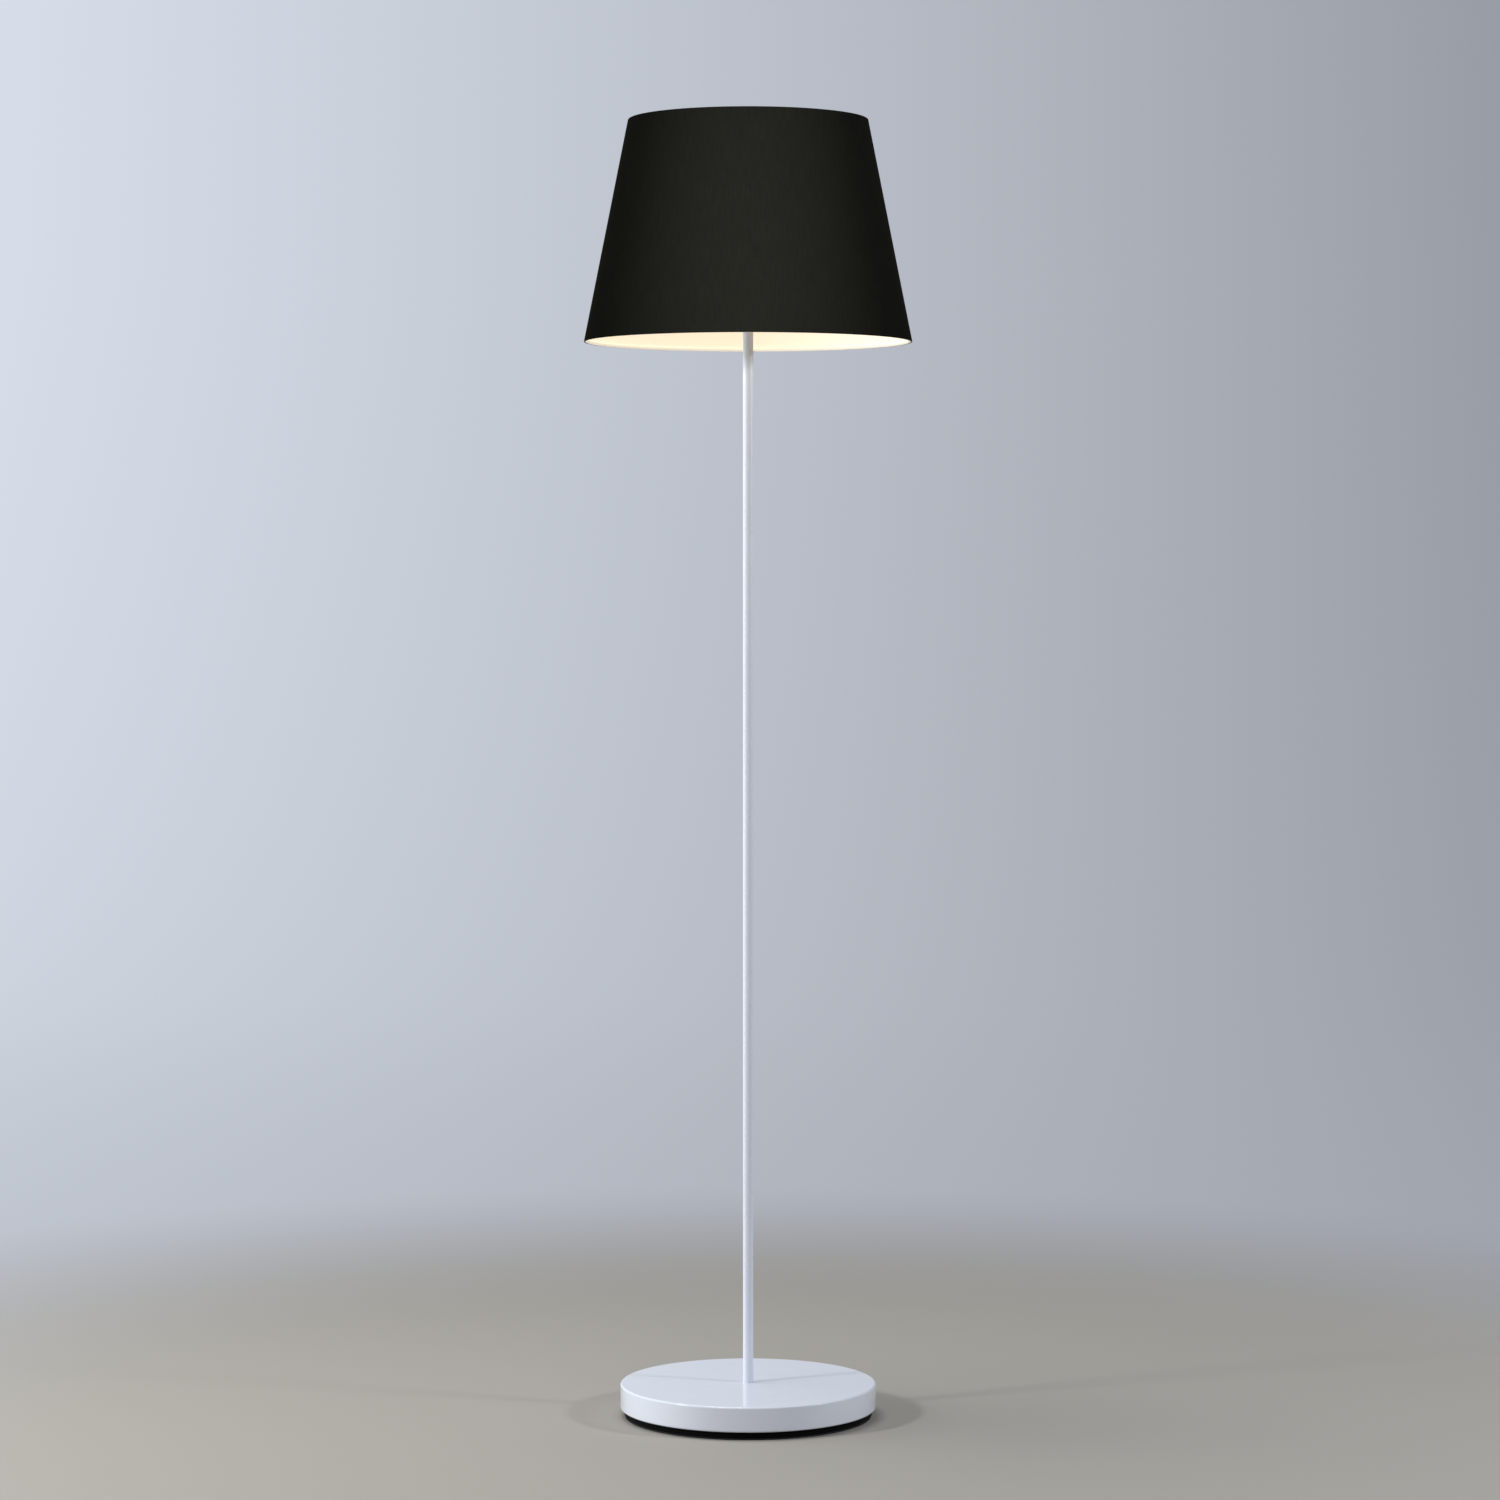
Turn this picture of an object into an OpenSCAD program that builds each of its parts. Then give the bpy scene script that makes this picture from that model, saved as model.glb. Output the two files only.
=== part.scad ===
// Standard floor lamp: weighted round base, slim stem in four screwed sections,
// E27 lampholder with a shade ring, tapered drum shade on a dropped three-arm fitter, LED bulb.
// Millimetres, +Z up. The origin is on the floor, on the stem's axis. The cable leaves towards +Y.

/* [Base] */
// Diameter of the base
base_d = 300; // [260:5:340]
// Height of the steel shell, from its lower edge to its top
shell_h = 26; // [24:1:34]
// Sheet thickness of the shell
shell_wall = 1.2; // [0.8:0.1:1.5]
// Radius of the shell's outer edges
shell_edge_r = 2.2; // [1.8:0.1:3]
// How far the shell's lower edge is turned in
shell_lip = 4; // [3.5:0.5:6]
// Gap between the turned lip and the tray
tray_gap = 0.5; // [0.3:0.1:1]
// Height of the tray that shows below the shell
tray_reveal = 8; // [5:0.5:9]
// Thickness of the tray's rim
tray_wall = 2.5; // [1.5:0.1:3]
// Thickness of the tray's floor
tray_floor = 2.5; // [1.5:0.1:3]
// Height of the ribs that carry the weight
rib_h = 7.5; // [7:0.5:9]
// Thickness of those ribs
rib_t = 2; // [1.5:0.1:3]
// How far the tray's rim laps up round the weight
tray_lap = 2; // [1:0.5:2.5]
// Radius of the tray's lower edge
tray_edge_r = 1.5; // [0.8:0.1:2]
// Radius of the upper edge of the tray's rim
tray_rim_r = 0.5; // [0.2:0.1:0.8]
// Gap between the weight and the tray's rim
weight_gap = 1; // [0.5:0.1:2]
// Bevel round the weight's edges
weight_bevel = 2; // [1:0.5:3]
// Thickness of the foam foot pad
pad_t = 2; // [1:0.5:3]
// Width of the foot pad's ring
pad_w = 32; // [20:1:38]
// How far the foot pad stays back from the tray's edge
pad_inset = 1; // [0.5:0.1:3]

/* [Base fasteners] */
// Circle of the tray screws
screw_pcd = 190; // [150:5:196]
// Nominal diameter of the tray screws
screw_d = 4; // [3:0.5:5]
// Length of the tray screws under the head
screw_l = 14; // [10:1:16]
// Diameter of the screw heads
screw_head_d = 8; // [7.5:0.5:9]
// Height of the screw heads
screw_head_h = 2.6; // [2:0.1:3]
// Depth of the cross recess
cross_depth = 1.3; // [0.8:0.1:1.6]
// Width of the cross recess
cross_w = 0.9; // [0.6:0.1:1.2]
// Depth of the recess that takes the screw head
head_recess = 4.5; // [3.5:0.5:5]
// Clearance round a screw in the tray
screw_gap = 0.25; // [0.1:0.05:0.5]
// Wall of the plastic round a screw head
boss_wall = 2.5; // [1.5:0.1:3]
// Outer diameter of the brass inserts in the weight
insert_d = 7; // [6.5:0.5:9]
// Length of the brass inserts
insert_l = 10; // [8:1:12]
// Depth of the recess for the clamping nut
nut_recess = 10; // [9:0.5:12]
// Diameter of that recess
nut_recess_d = 44; // [38:1:56]
// Diameter of the clamping washer
washer_d = 30; // [24:1:34]
// Thickness of the clamping washer
washer_t = 2; // [1.5:0.1:2.5]
// Diameter of the spring washer
lock_washer_d = 17; // [15:0.5:18]
// Thickness of the spring washer
lock_washer_t = 1.5; // [1:0.1:2]
// Slit in the spring washer
lock_washer_slit = 1.4; // [0.8:0.1:2]
// Nut, across flats
nut_flats = 14; // [13:0.5:17]
// Nut thickness
nut_t = 3.5; // [3:0.5:4]
// Bevel of the nut's corners
nut_bevel = 0.6; // [0.3:0.1:0.9]

/* [Cable bush] */
// Bore that the cable passes through
bush_bore = 6.4; // [5:0.2:7]
// Height of the bush's axis above the floor
bush_z = 20; // [19.5:0.5:22]
// Diameter of the hole in the shell
bush_hole_d = 10; // [9.6:0.2:10.8]
// Clearance of the bush in that hole
bush_gap = 0.1; // [0.05:0.05:0.3]
// Diameter of the outer flange
bush_flange_d = 14; // [12:0.5:15]
// Thickness of the outer flange
bush_flange_t = 2; // [1.5:0.1:3]
// Length inside the shell's outer face
bush_inner_l = 9; // [7:0.5:11]
// How far the snap ridge stands out
bush_snap = 0.6; // [0.4:0.1:0.9]
// Length of the snap ridge's slope
bush_ridge_l = 2; // [1:0.5:3]
// Radius of the outer flange's edge
bush_edge_r = 1; // [0.5:0.1:1.4]
// Radius of the bore's rounded mouth
bush_mouth_r = 1; // [0.5:0.1:1.4]
// Width of the cable channel in the weight
channel_w = 10; // [8:1:14]
// Room round the bush in the weight
bush_room = 2; // [1:0.5:3]

/* [Stem] */
// Outside diameter of the stem tube
stem_d = 12; // [11.8:0.2:16]
// Bore of the stem tube
stem_bore = 9; // [8:0.2:9.4]
// Length of each stem section
section_l = 333; // [250:1:400]
// Bevel at the ends of each section
stem_bevel = 0.3; // [0.2:0.1:0.5]
// Thread diameter of the tapped ends and of the nipples
thread_d = 10; // [9.8:0.1:10.2]
// Depth of the tapped ends
tap_depth = 13; // [12:0.5:20]
// Length of the joining nipples
nipple_l = 24; // [16:1:24]
// Cable bore of the nipples
nipple_bore = 7.5; // [6.5:0.1:8]
// Bevel at the ends of the nipples
nipple_bevel = 0.6; // [0.3:0.1:0.9]
// How far the base nipple reaches below its nut
nipple_tail = 1.5; // [1:0.25:2]
// Clearance round the base nipple in the shell and the weight
nipple_gap = 0.4; // [0.2:0.1:0.8]

/* [Lampholder] */
// Height of the holder's cap
cap_h = 27; // [26:0.5:32]
// Diameter of the cap
cap_d = 39; // [38:0.5:39.5]
// Radius of the cap's shoulder
cap_shoulder_r = 12; // [9:0.5:13]
// Diameter of the threaded neck
neck_d = 18; // [17:0.5:21]
// Length of the neck's thread
neck_thread_l = 9; // [8.5:0.5:10]
// Height of the neck below the shoulder
neck_h = 5; // [4.5:0.5:6]
// Wall of the cap
cap_wall = 1.6; // [1.2:0.1:1.8]
// Number of grip flutes round the cap
cap_flutes = 24; // [12:1:32]
// Depth of the flutes
flute_depth = 0.5; // [0.3:0.1:0.7]
// Radius of the tool that cuts the flutes
flute_r = 1.4; // [1:0.1:1.8]
// Diameter of the locking screw in the neck
grub_d = 3; // [2.5:0.5:3]
// Width of the locking screw's slot
grub_slot_w = 0.5; // [0.4:0.1:0.8]
// Depth of that slot
grub_slot_depth = 1; // [0.6:0.1:1.4]
// How far the locking screw lies under the neck's surface
grub_sink = 0.2; // [0.1:0.1:0.5]
// How far the holder nipple reaches into the neck
holder_nipple_up = 8; // [6:0.5:8.5]
// Height of the collar between the cap and the flange
collar_h = 4; // [3:0.5:6]
// Thickness of the flange that carries the shade
flange_t = 2; // [1.5:0.1:3]
// Diameter of that flange
flange_d = 47; // [45:0.5:50]
// Outer diameter of the thread for the shade ring
skirt_thread_d = 39.6; // [39.2:0.2:40]
// Height of the skirt above the flange
skirt_h = 24; // [22:0.5:26]
// Bore of the skirt
skirt_bore = 33; // [31:0.5:33.4]
// Mouth of the skirt, where the bulb goes in
skirt_mouth_d = 28.4; // [28.2:0.1:29.4]
// Thickness of the skirt's mouth
skirt_mouth_t = 2.5; // [1.5:0.1:3]
// How far the skirt reaches down into the cap
spigot_h = 7; // [5:0.5:8]
// Clearance between the skirt's spigot and the cap
spigot_gap = 0.15; // [0.1:0.05:0.3]
// Height of the contact carrier's underside above the cap's lower end
insert_z = 14; // [13:0.5:15]
// Thickness of the contact carrier
carrier_t = 11; // [9.5:0.5:12]
// Clearance round the contact carrier
carrier_gap = 0.3; // [0.2:0.05:0.5]
// Width of the ledge that the carrier sits on
ledge_w = 2; // [1.5:0.1:2.5]
// Thickness of the ledge
ledge_t = 2; // [1.5:0.1:2.4]
// Sheet thickness of the screw shell
screw_shell_t = 0.5; // [0.4:0.1:0.7]
// Height of the screw shell
screw_shell_h = 26; // [22:0.5:26.5]
// Width of the screw shell's inner foot
screw_shell_foot = 3.5; // [3:0.1:4.5]
// Thickness of the centre contact leaf
leaf_t = 0.5; // [0.4:0.1:0.7]
// Width of the centre contact leaf
leaf_w = 5; // [4:0.5:6]
// Length of each flat of the leaf
leaf_flat = 6; // [5:0.5:7]
// How far the leaf rises to the bulb
leaf_rise = 2; // [1.5:0.1:3]
// Width of a terminal block
terminal_w = 6; // [5:0.5:7]
// Length of a terminal block
terminal_l = 8; // [7:0.5:9]
// Height of a terminal block
terminal_h = 6; // [5:0.5:6.5]
// How far a terminal block is let into the carrier
terminal_seat = 3; // [2.5:0.5:4]
// Distance of the terminals from the axis
terminal_x = 8; // [7:0.5:9]
// Diameter of the terminal screws
terminal_screw_d = 3; // [2.5:0.5:3.5]
// How far a terminal screw stands out of its block
terminal_screw_proud = 0.8; // [0.5:0.1:1.2]
// Width of a terminal screw's slot
terminal_slot_w = 0.6; // [0.4:0.1:0.8]
// Wire hole of a terminal
terminal_hole_d = 2.4; // [2:0.2:2.8]
// Radius of the holder's moulded edges
moulded_edge_r = 0.6; // [0.4:0.05:0.7]
// Radius of the thread's upper end on the skirt
thread_end_r = 0.8; // [0.5:0.1:1]

/* [Shade ring] */
// Height of the shade ring
ring_h = 12; // [9:0.5:16]
// Diameter of the ring's flange
ring_flange_d = 55; // [52:0.5:57]
// Thickness of the ring's flange
ring_flange_t = 2.5; // [2:0.1:4]
// Diameter of the ring's grip
ring_grip_d = 47; // [45:0.5:50]
// Running clearance of the ring on the skirt
ring_clearance = 0.1; // [0.05:0.01:0.1]
// Radius of the ring's upper edge
ring_edge_r = 1; // [0.6:0.1:1.4]
// Number of grip notches
ring_notches = 24; // [12:1:30]

/* [Shade] */
// Outer diameter of the shade at the bottom
shade_bottom_d = 382; // [340:1:420]
// Outer diameter of the shade at the top
shade_top_d = 279; // [250:1:320]
// Height of the shade
shade_h = 257; // [220:1:300]
// How far the fitter lies below the shade's top edge
fitter_drop = 112; // [100:1:130]
// Thickness of the fabric
fabric_t = 0.7; // [0.5:0.05:1]
// Thickness of the stiff lining
liner_t = 0.6; // [0.4:0.05:0.9]
// Diameter of the two hoop wires
hoop_wire_d = 2.4; // [2:0.1:3.2]
// Diameter of the arm wire
arm_wire_d = 3; // [2.4:0.1:3.6]
// Inner radius of the bend in each arm
arm_bend_r = 8; // [5:0.5:12]
// Straight part of each arm at the fitter
arm_foot = 6; // [4:0.5:10]
// Thickness of the tape that binds each hoop to the lining
tape_t = 0.5; // [0.3:0.05:0.8]
// Glue line between a hoop and the lining
hoop_bond = 0.2; // [0.1:0.05:0.3]
// Bevel of the cover's turned edges
cover_bevel = 0.4; // [0.2:0.05:0.5]
// Clearance round the arms where they pass the tape
arm_notch = 0.4; // [0.2:0.1:0.8]
// Hole of the fitter
fitter_hole_d = 40.6; // [40.2:0.2:42]
// Outer diameter of the fitter
fitter_d = 62; // [60:0.5:66]
// Sheet thickness of the fitter
fitter_t = 1.2; // [0.8:0.1:1.6]
// Height of the fitter's rim
fitter_rim_h = 6; // [5:0.5:9]
// Outer radius of the fitter's pressed bend
fitter_bend_r = 1.6; // [1.4:0.1:2]

/* [Bulb] */
// Overall length of the bulb
bulb_l = 108; // [104:1:112]
// Diameter of the bulb's globe
bulb_d = 60; // [55:1:65]
// Diameter of the bulb's neck
bulb_neck_d = 27; // [26.6:0.2:27.4]
// Radius of the sweep from the neck to the globe
bulb_sweep_r = 45; // [38:1:60]
// Wall of the bulb's housing
bulb_wall = 1.6; // [1.2:0.1:2]
// Wall of the bulb's globe
globe_wall = 1.2; // [0.8:0.1:1.6]
// Crest diameter of the E27 cap's thread
bulb_cap_d = 26.2; // [26:0.1:26.4]
// Running clearance of the cap in the screw shell
cap_clearance = 0.1; // [0.05:0.01:0.1]
// Sheet thickness of the cap
bulb_cap_t = 0.4; // [0.3:0.05:0.5]
// Radius of the cap's lower edge
bulb_toe_r = 2; // [1.5:0.1:2.4]
// How far the housing reaches down into the cap
bulb_plug_h = 4; // [3:0.5:6]
// Height of the metal cap with the insulator and the tip
bulb_cap_h = 27; // [26:0.5:28]
// Height of the solder tip
tip_h = 1.5; // [1:0.1:2]
// Diameter of the solder tip
tip_d = 9; // [8:0.5:9.4]
// Narrowing of the solder tip
tip_taper = 1; // [0.5:0.1:1.5]
// Height of the black insulator
insulator_h = 4; // [3:0.5:5]
// Diameter of the insulator at the metal cap
insulator_d = 22; // [21:0.5:23]
// Plate thickness of the heat spreader
spreader_t = 2; // [1.5:0.1:3]
// Height of the heat spreader's skirt
spreader_skirt = 10; // [6:0.5:12]
// Diameter of that skirt
spreader_skirt_d = 24; // [23:0.5:25]
// Wire hole of the heat spreader and the LED board
spreader_hole_d = 4; // [3:0.5:5]
// Thickness of the circuit boards
board_t = 1.2; // [0.8:0.1:1.6]
// Gap round the LED board
board_gap = 2; // [1.5:0.1:3]
// Number of light-emitting chips
led_count = 10; // [6:1:14]
// Size of each chip
led_size = 3; // [2:0.5:3.5]
// Thickness of each chip
led_t = 0.7; // [0.5:0.1:1]
// Width of the driver board
driver_w = 17; // [14:0.5:19]
// Height of the driver board
driver_h = 34; // [26:1:36]
// Size of the transformer on the driver board
transformer = [6, 5, 9];
// Diameter of the capacitor on the driver board
capacitor_d = 7; // [5:0.5:8]
// Length of the capacitor
capacitor_l = 11; // [8:1:14]

/* [Hidden] */
$fn = 96;

eps = 0.01;              // overshoot of a cut past the face it opens
clear = 1;               // overshoot of a cut where nothing else is near
fine_edge_r = 0.2;       // edges that are only broken
screw_count = 4;         // tray screws, half a pitch away from the cable channel
section_count = 4;       // stem sections

// Base, from the floor up
base_r = base_d / 2;
shell_z0 = pad_t + tray_reveal;
shell_z1 = shell_z0 + shell_h;
lip_r = base_r - shell_lip;
tray_r = lip_r - tray_gap;
tray_in_r = tray_r - tray_wall;
tray_top_of_floor = pad_t + tray_floor;
tray_top_z = tray_top_of_floor + rib_h + tray_lap;
weight_z0 = tray_top_of_floor + rib_h;
weight_z1 = shell_z1 - shell_wall;
weight_r = tray_in_r - weight_gap;
pad_r = tray_r - pad_inset;
screw_ring_r = screw_pcd / 2;
boss_r = screw_head_d / 2 + screw_gap + boss_wall;
head_seat_z = pad_t + head_recess;
recess_z = weight_z0 + nut_recess;
washer_z = recess_z - washer_t;
lock_washer_z = washer_z - lock_washer_t;
nut_z = lock_washer_z - nut_t;
rib_ring_r = [nut_recess_d / 2 + 2 * rib_t, (nut_recess_d / 2 + screw_ring_r) / 2, tray_in_r - pad_w / 2];
rib_count = 16;

// Cable bush
bush_r = bush_hole_d / 2 - bush_gap;
ridge_r = bush_r + bush_snap;
ridge_y = sqrt(pow(base_r - shell_wall, 2) - pow(ridge_r, 2)) - bush_gap;
bush_mouth_y = base_r + bush_flange_t;

// Stem
thread_r = thread_d / 2;
holder_z = shell_z1 + section_count * section_l;

// Lampholder, from its lower end up
cap_top_z = holder_z + cap_h;
flange_z = cap_top_z + collar_h;
fitter_z = flange_z + flange_t;
skirt_top_z = fitter_z + skirt_h;
cap_in_r = cap_d / 2 - cap_wall;
spigot_r = cap_in_r - spigot_gap;
carrier_z = holder_z + insert_z;
carrier_top_z = carrier_z + carrier_t;
carrier_r = skirt_bore / 2 - carrier_gap;
screw_shell_r = bulb_cap_d / 2 + cap_clearance;
leaf_top_z = carrier_top_z + leaf_rise + leaf_t;
grub_z = holder_z + neck_h / 2;
ring_z0 = fitter_z + fitter_t;

// Shade
shade_top_z = fitter_z + fitter_drop;
shade_bottom_z = shade_top_z - shade_h;
shade_angle = atan((shade_bottom_d - shade_top_d) / 2 / shade_h);
skin_t = fabric_t + liner_t;
hoop_r = hoop_wire_d / 2;
hoop_up = hoop_r + tape_t;
tape_flats = 12;
// Point of the shade's half section at height z and at a depth under the outer face
function wall_point(z, depth) =
    [shade_bottom_d / 2 - (z - shade_bottom_z) * tan(shade_angle) - depth / cos(shade_angle), z];
bottom_hoop = wall_point(shade_bottom_z + hoop_up, skin_t + hoop_bond + hoop_r);
top_hoop = wall_point(shade_top_z - hoop_up, skin_t + hoop_bond + hoop_r);
arm_z = fitter_z + fitter_rim_h / 2;
arm_bend_x = fitter_d / 2 + arm_foot;
arm_count = 3;
// Slope of an arm above its bend, so that its centre line ends in the middle of the top hoop
arm_bend_mid_r = arm_bend_r + arm_wire_d / 2;
arm_dx = top_hoop[0] - arm_bend_x;
arm_dz = top_hoop[1] - arm_z - arm_bend_mid_r;
arm_reach = sqrt(pow(arm_dx, 2) + pow(arm_dz, 2));
arm_slope = atan2(arm_dz, arm_dx) + asin(arm_bend_mid_r / arm_reach);
arm_run = sqrt(pow(arm_reach, 2) - pow(arm_bend_mid_r, 2));
// A cold bend leaves the wire a hair thicker, and its end stops inside the hoop's own wire
arm_bend_swell = 0.02;
arm_cope = 0.4 * hoop_r;

// Bulb, from its tip up
bulb_z = leaf_top_z;
globe_r = bulb_d / 2;
globe_z = bulb_z + bulb_l - globe_r;
neck_r = bulb_neck_d / 2;
sweep_x = neck_r + bulb_sweep_r;
sweep_z = globe_z - sqrt(pow(globe_r + bulb_sweep_r, 2) - pow(sweep_x, 2));
seam_z = globe_z - globe_r * (globe_z - sweep_z) / (globe_r + bulb_sweep_r);
seam_r = sqrt(pow(globe_r, 2) - pow(globe_z - seam_z, 2));
cap_z0 = bulb_z + tip_h + insulator_h;
cap_z1 = bulb_z + bulb_cap_h;

// ---------- shapes that repeat ----------

// What lies outside a round corner of radius r, for cutting that corner off a plane figure
module corner(r) {
    difference() {
        square(r + clear);
        circle(r);
    }
}

// Half section of a disc from height z0 to z1, with its outer corners rounded
module disc_section(r, z0, z1, r_low, r_high) {
    difference() {
        translate([0, z0]) square([r, z1 - z0]);
        translate([r - r_high, z1 - r_high]) corner(r_high);
        translate([r - r_low, z0 + r_low]) mirror([0, 1]) corner(r_low);
    }
}

// Plain ring between two radii
module ring(r_in, r_out, z0, z1) {
    rotate_extrude() translate([r_in, z0]) square([r_out - r_in, z1 - z0]);
}

// Hollow threaded rod, drawn at its thread's outer diameter, with bevelled ends
module nipple(z0, z1) {
    bevel_in = thread_r - nipple_bevel;
    rotate_extrude()
        polygon([
            [nipple_bore / 2, z0], [bevel_in, z0], [thread_r, z0 + nipple_bevel],
            [thread_r, z1 - nipple_bevel], [bevel_in, z1], [nipple_bore / 2, z1]
        ]);
}

// One length of stem tube, tapped at both ends
module stem_tube(z0) {
    r = stem_d / 2;
    z1 = z0 + section_l;
    rotate_extrude()
        polygon([
            [thread_r, z0], [r - stem_bevel, z0], [r, z0 + stem_bevel],
            [r, z1 - stem_bevel], [r - stem_bevel, z1], [thread_r, z1],
            [thread_r, z1 - tap_depth], [stem_bore / 2, z1 - tap_depth],
            [stem_bore / 2, z0 + tap_depth], [thread_r, z0 + tap_depth]
        ]);
}

// Places its children at every tray screw
module at_screws() {
    for (i = [0 : screw_count - 1])
        rotate(360 / screw_count * (i + 0.5)) translate([screw_ring_r, 0, 0]) children();
}

// Torus about the stem's axis
module hoop(centre, r) {
    rotate_extrude() translate(centre) circle(r, $fn = 24);
}

// ---------- base ----------

module foot_pad() {
    color("dimgray") ring(pad_r - pad_w, pad_r, 0, pad_t);
}

module bottom_tray() {
    color("black")
        difference() {
            union() {
                rotate_extrude()
                    difference() {
                        disc_section(tray_r, pad_t, tray_top_z, tray_edge_r, tray_rim_r);
                        translate([0, tray_top_of_floor]) square([tray_in_r, tray_top_z]);
                    }
                for (r = rib_ring_r) ring(r - rib_t, r, tray_top_of_floor - eps, weight_z0);
                for (i = [0 : rib_count - 1])
                    rotate(360 / rib_count * (i + 0.5))
                        translate([rib_ring_r[0] - eps, -rib_t / 2, tray_top_of_floor - eps])
                            cube([rib_ring_r[2] - rib_ring_r[0], rib_t, rib_h + eps]);
                at_screws() translate([0, 0, pad_t]) cylinder(r = boss_r, h = weight_z0 - pad_t);
            }
            at_screws() {
                translate([0, 0, pad_t - eps])
                    cylinder(r = screw_head_d / 2 + screw_gap, h = head_recess + eps);
                translate([0, 0, pad_t])
                    cylinder(r = screw_d / 2 + screw_gap, h = weight_z0);
            }
        }
}

module tray_screws() {
    color("silver")
        at_screws() difference() {
            union() {
                translate([0, 0, head_seat_z - screw_head_h])
                    cylinder(r = screw_head_d / 2, h = screw_head_h);
                translate([0, 0, head_seat_z - eps]) cylinder(r = screw_d / 2, h = screw_l + eps);
            }
            for (a = [0, 90])
                rotate(a)
                    translate([-screw_d / 2, -cross_w / 2, head_seat_z - screw_head_h - eps])
                        cube([screw_d, cross_w, cross_depth + eps]);
        }
}

module base_weight() {
    color("darkgray")
        difference() {
            rotate_extrude()
                polygon([
                    [0, weight_z0], [weight_r - weight_bevel, weight_z0],
                    [weight_r, weight_z0 + weight_bevel], [weight_r, weight_z1 - weight_bevel],
                    [weight_r - weight_bevel, weight_z1], [0, weight_z1]
                ]);
            translate([0, 0, weight_z0 - eps])
                cylinder(r = thread_r + nipple_gap, h = weight_z1 - weight_z0 + 2 * eps);
            translate([0, 0, weight_z0 - eps])
                cylinder(r = nut_recess_d / 2, h = nut_recess + eps);
            translate([-channel_w / 2, 0, weight_z0 - eps])
                cube([channel_w, weight_r + clear, bush_z + bush_bore / 2 - weight_z0 + eps]);
            bush_pocket();
            at_screws() translate([0, 0, weight_z0 - eps])
                cylinder(r = insert_d / 2, h = insert_l + eps);
        }
}

// Room in the weight for the inner end of the cable bush
module bush_pocket() {
    r = bush_hole_d / 2 + bush_room;
    pocket_y = base_r - bush_inner_l - bush_room;
    translate([-r, pocket_y, weight_z0 - eps]) cube([2 * r, bush_inner_l, bush_z - weight_z0 + eps]);
    translate([0, pocket_y, bush_z]) rotate([-90, 0, 0]) cylinder(r = r, h = bush_inner_l);
}

module weight_inserts() {
    color("gold")
        at_screws() ring(screw_d / 2, insert_d / 2, weight_z0, weight_z0 + insert_l);
}

module base_shell() {
    inner_r = shell_edge_r - shell_wall;
    color("white")
        difference() {
            rotate_extrude()
                difference() {
                    disc_section(base_r, shell_z0, shell_z1, shell_edge_r, shell_edge_r);
                    disc_section(
                        base_r - shell_wall, shell_z0 + shell_wall, shell_z1 - shell_wall,
                        inner_r, inner_r
                    );
                    translate([0, shell_z0 - eps]) square([lip_r, shell_wall + 2 * eps]);
                }
            translate([0, 0, shell_z1 - shell_wall - eps])
                cylinder(r = thread_r + nipple_gap, h = shell_wall + 2 * eps);
            translate([0, lip_r, bush_z]) rotate([-90, 0, 0])
                cylinder(r = bush_hole_d / 2, h = shell_lip + clear);
        }
}

// Turns a half section drawn round the Z axis into a solid round the bush's axis
module about_bush_axis() {
    translate([0, 0, bush_z]) rotate([-90, 0, 0]) rotate_extrude() children();
}

module cable_bush() {
    inner_y = base_r - bush_inner_l;
    color("black")
        difference() {
            union() {
                difference() {
                    about_bush_axis()
                        disc_section(bush_flange_d / 2, base_r - clear, bush_mouth_y, fine_edge_r, bush_edge_r);
                    translate([0, 0, shell_z0]) cylinder(r = base_r, h = shell_h);
                }
                about_bush_axis() {
                    translate([0, inner_y]) square([bush_r, bush_mouth_y - inner_y - eps]);
                    polygon([
                        [0, ridge_y], [ridge_r, ridge_y],
                        [bush_r, ridge_y - bush_ridge_l], [0, ridge_y - bush_ridge_l]
                    ]);
                }
            }
            about_bush_axis() {
                translate([0, inner_y - eps])
                    square([bush_bore / 2, bush_mouth_y - inner_y + 2 * eps]);
                translate([0, bush_mouth_y - bush_mouth_r])
                    difference() {
                        square([bush_bore / 2 + bush_mouth_r, bush_mouth_r + eps]);
                        translate([bush_bore / 2 + bush_mouth_r, 0]) circle(bush_mouth_r);
                    }
            }
        }
}

module base_nipple() {
    color("silver") nipple(nut_z - nipple_tail, shell_z1 + nipple_l / 2);
}

module base_washer() {
    color("silver") ring(thread_r + nipple_gap, washer_d / 2, washer_z, recess_z);
}

module base_lock_washer() {
    color("gray")
        difference() {
            ring(thread_r + nipple_gap, lock_washer_d / 2, lock_washer_z, washer_z);
            translate([0, -lock_washer_slit / 2, lock_washer_z - eps])
                cube([lock_washer_d, lock_washer_slit, lock_washer_t + 2 * eps]);
        }
}

module base_nut() {
    corner_r = nut_flats / 2 / cos(30);
    color("silver")
        difference() {
            intersection() {
                translate([0, 0, nut_z]) cylinder(r = corner_r, h = nut_t, $fn = 6);
                rotate_extrude()
                    polygon([
                        [0, nut_z], [corner_r - nut_bevel, nut_z], [corner_r, nut_z + nut_bevel / 2],
                        [corner_r, nut_z + nut_t], [0, nut_z + nut_t]
                    ]);
            }
            translate([0, 0, nut_z - eps]) cylinder(r = thread_r, h = nut_t + 2 * eps);
        }
}

// ---------- stem ----------

module stem_section(i) {
    color("white") stem_tube(shell_z1 + (i - 1) * section_l);
}

module stem_nipple(i) {
    joint_z = shell_z1 + i * section_l;
    color("silver") nipple(joint_z - nipple_l / 2, joint_z + nipple_l / 2);
}

module holder_nipple() {
    color("silver") nipple(holder_z - nipple_l / 2, holder_z + holder_nipple_up);
}

// ---------- lampholder ----------

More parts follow.
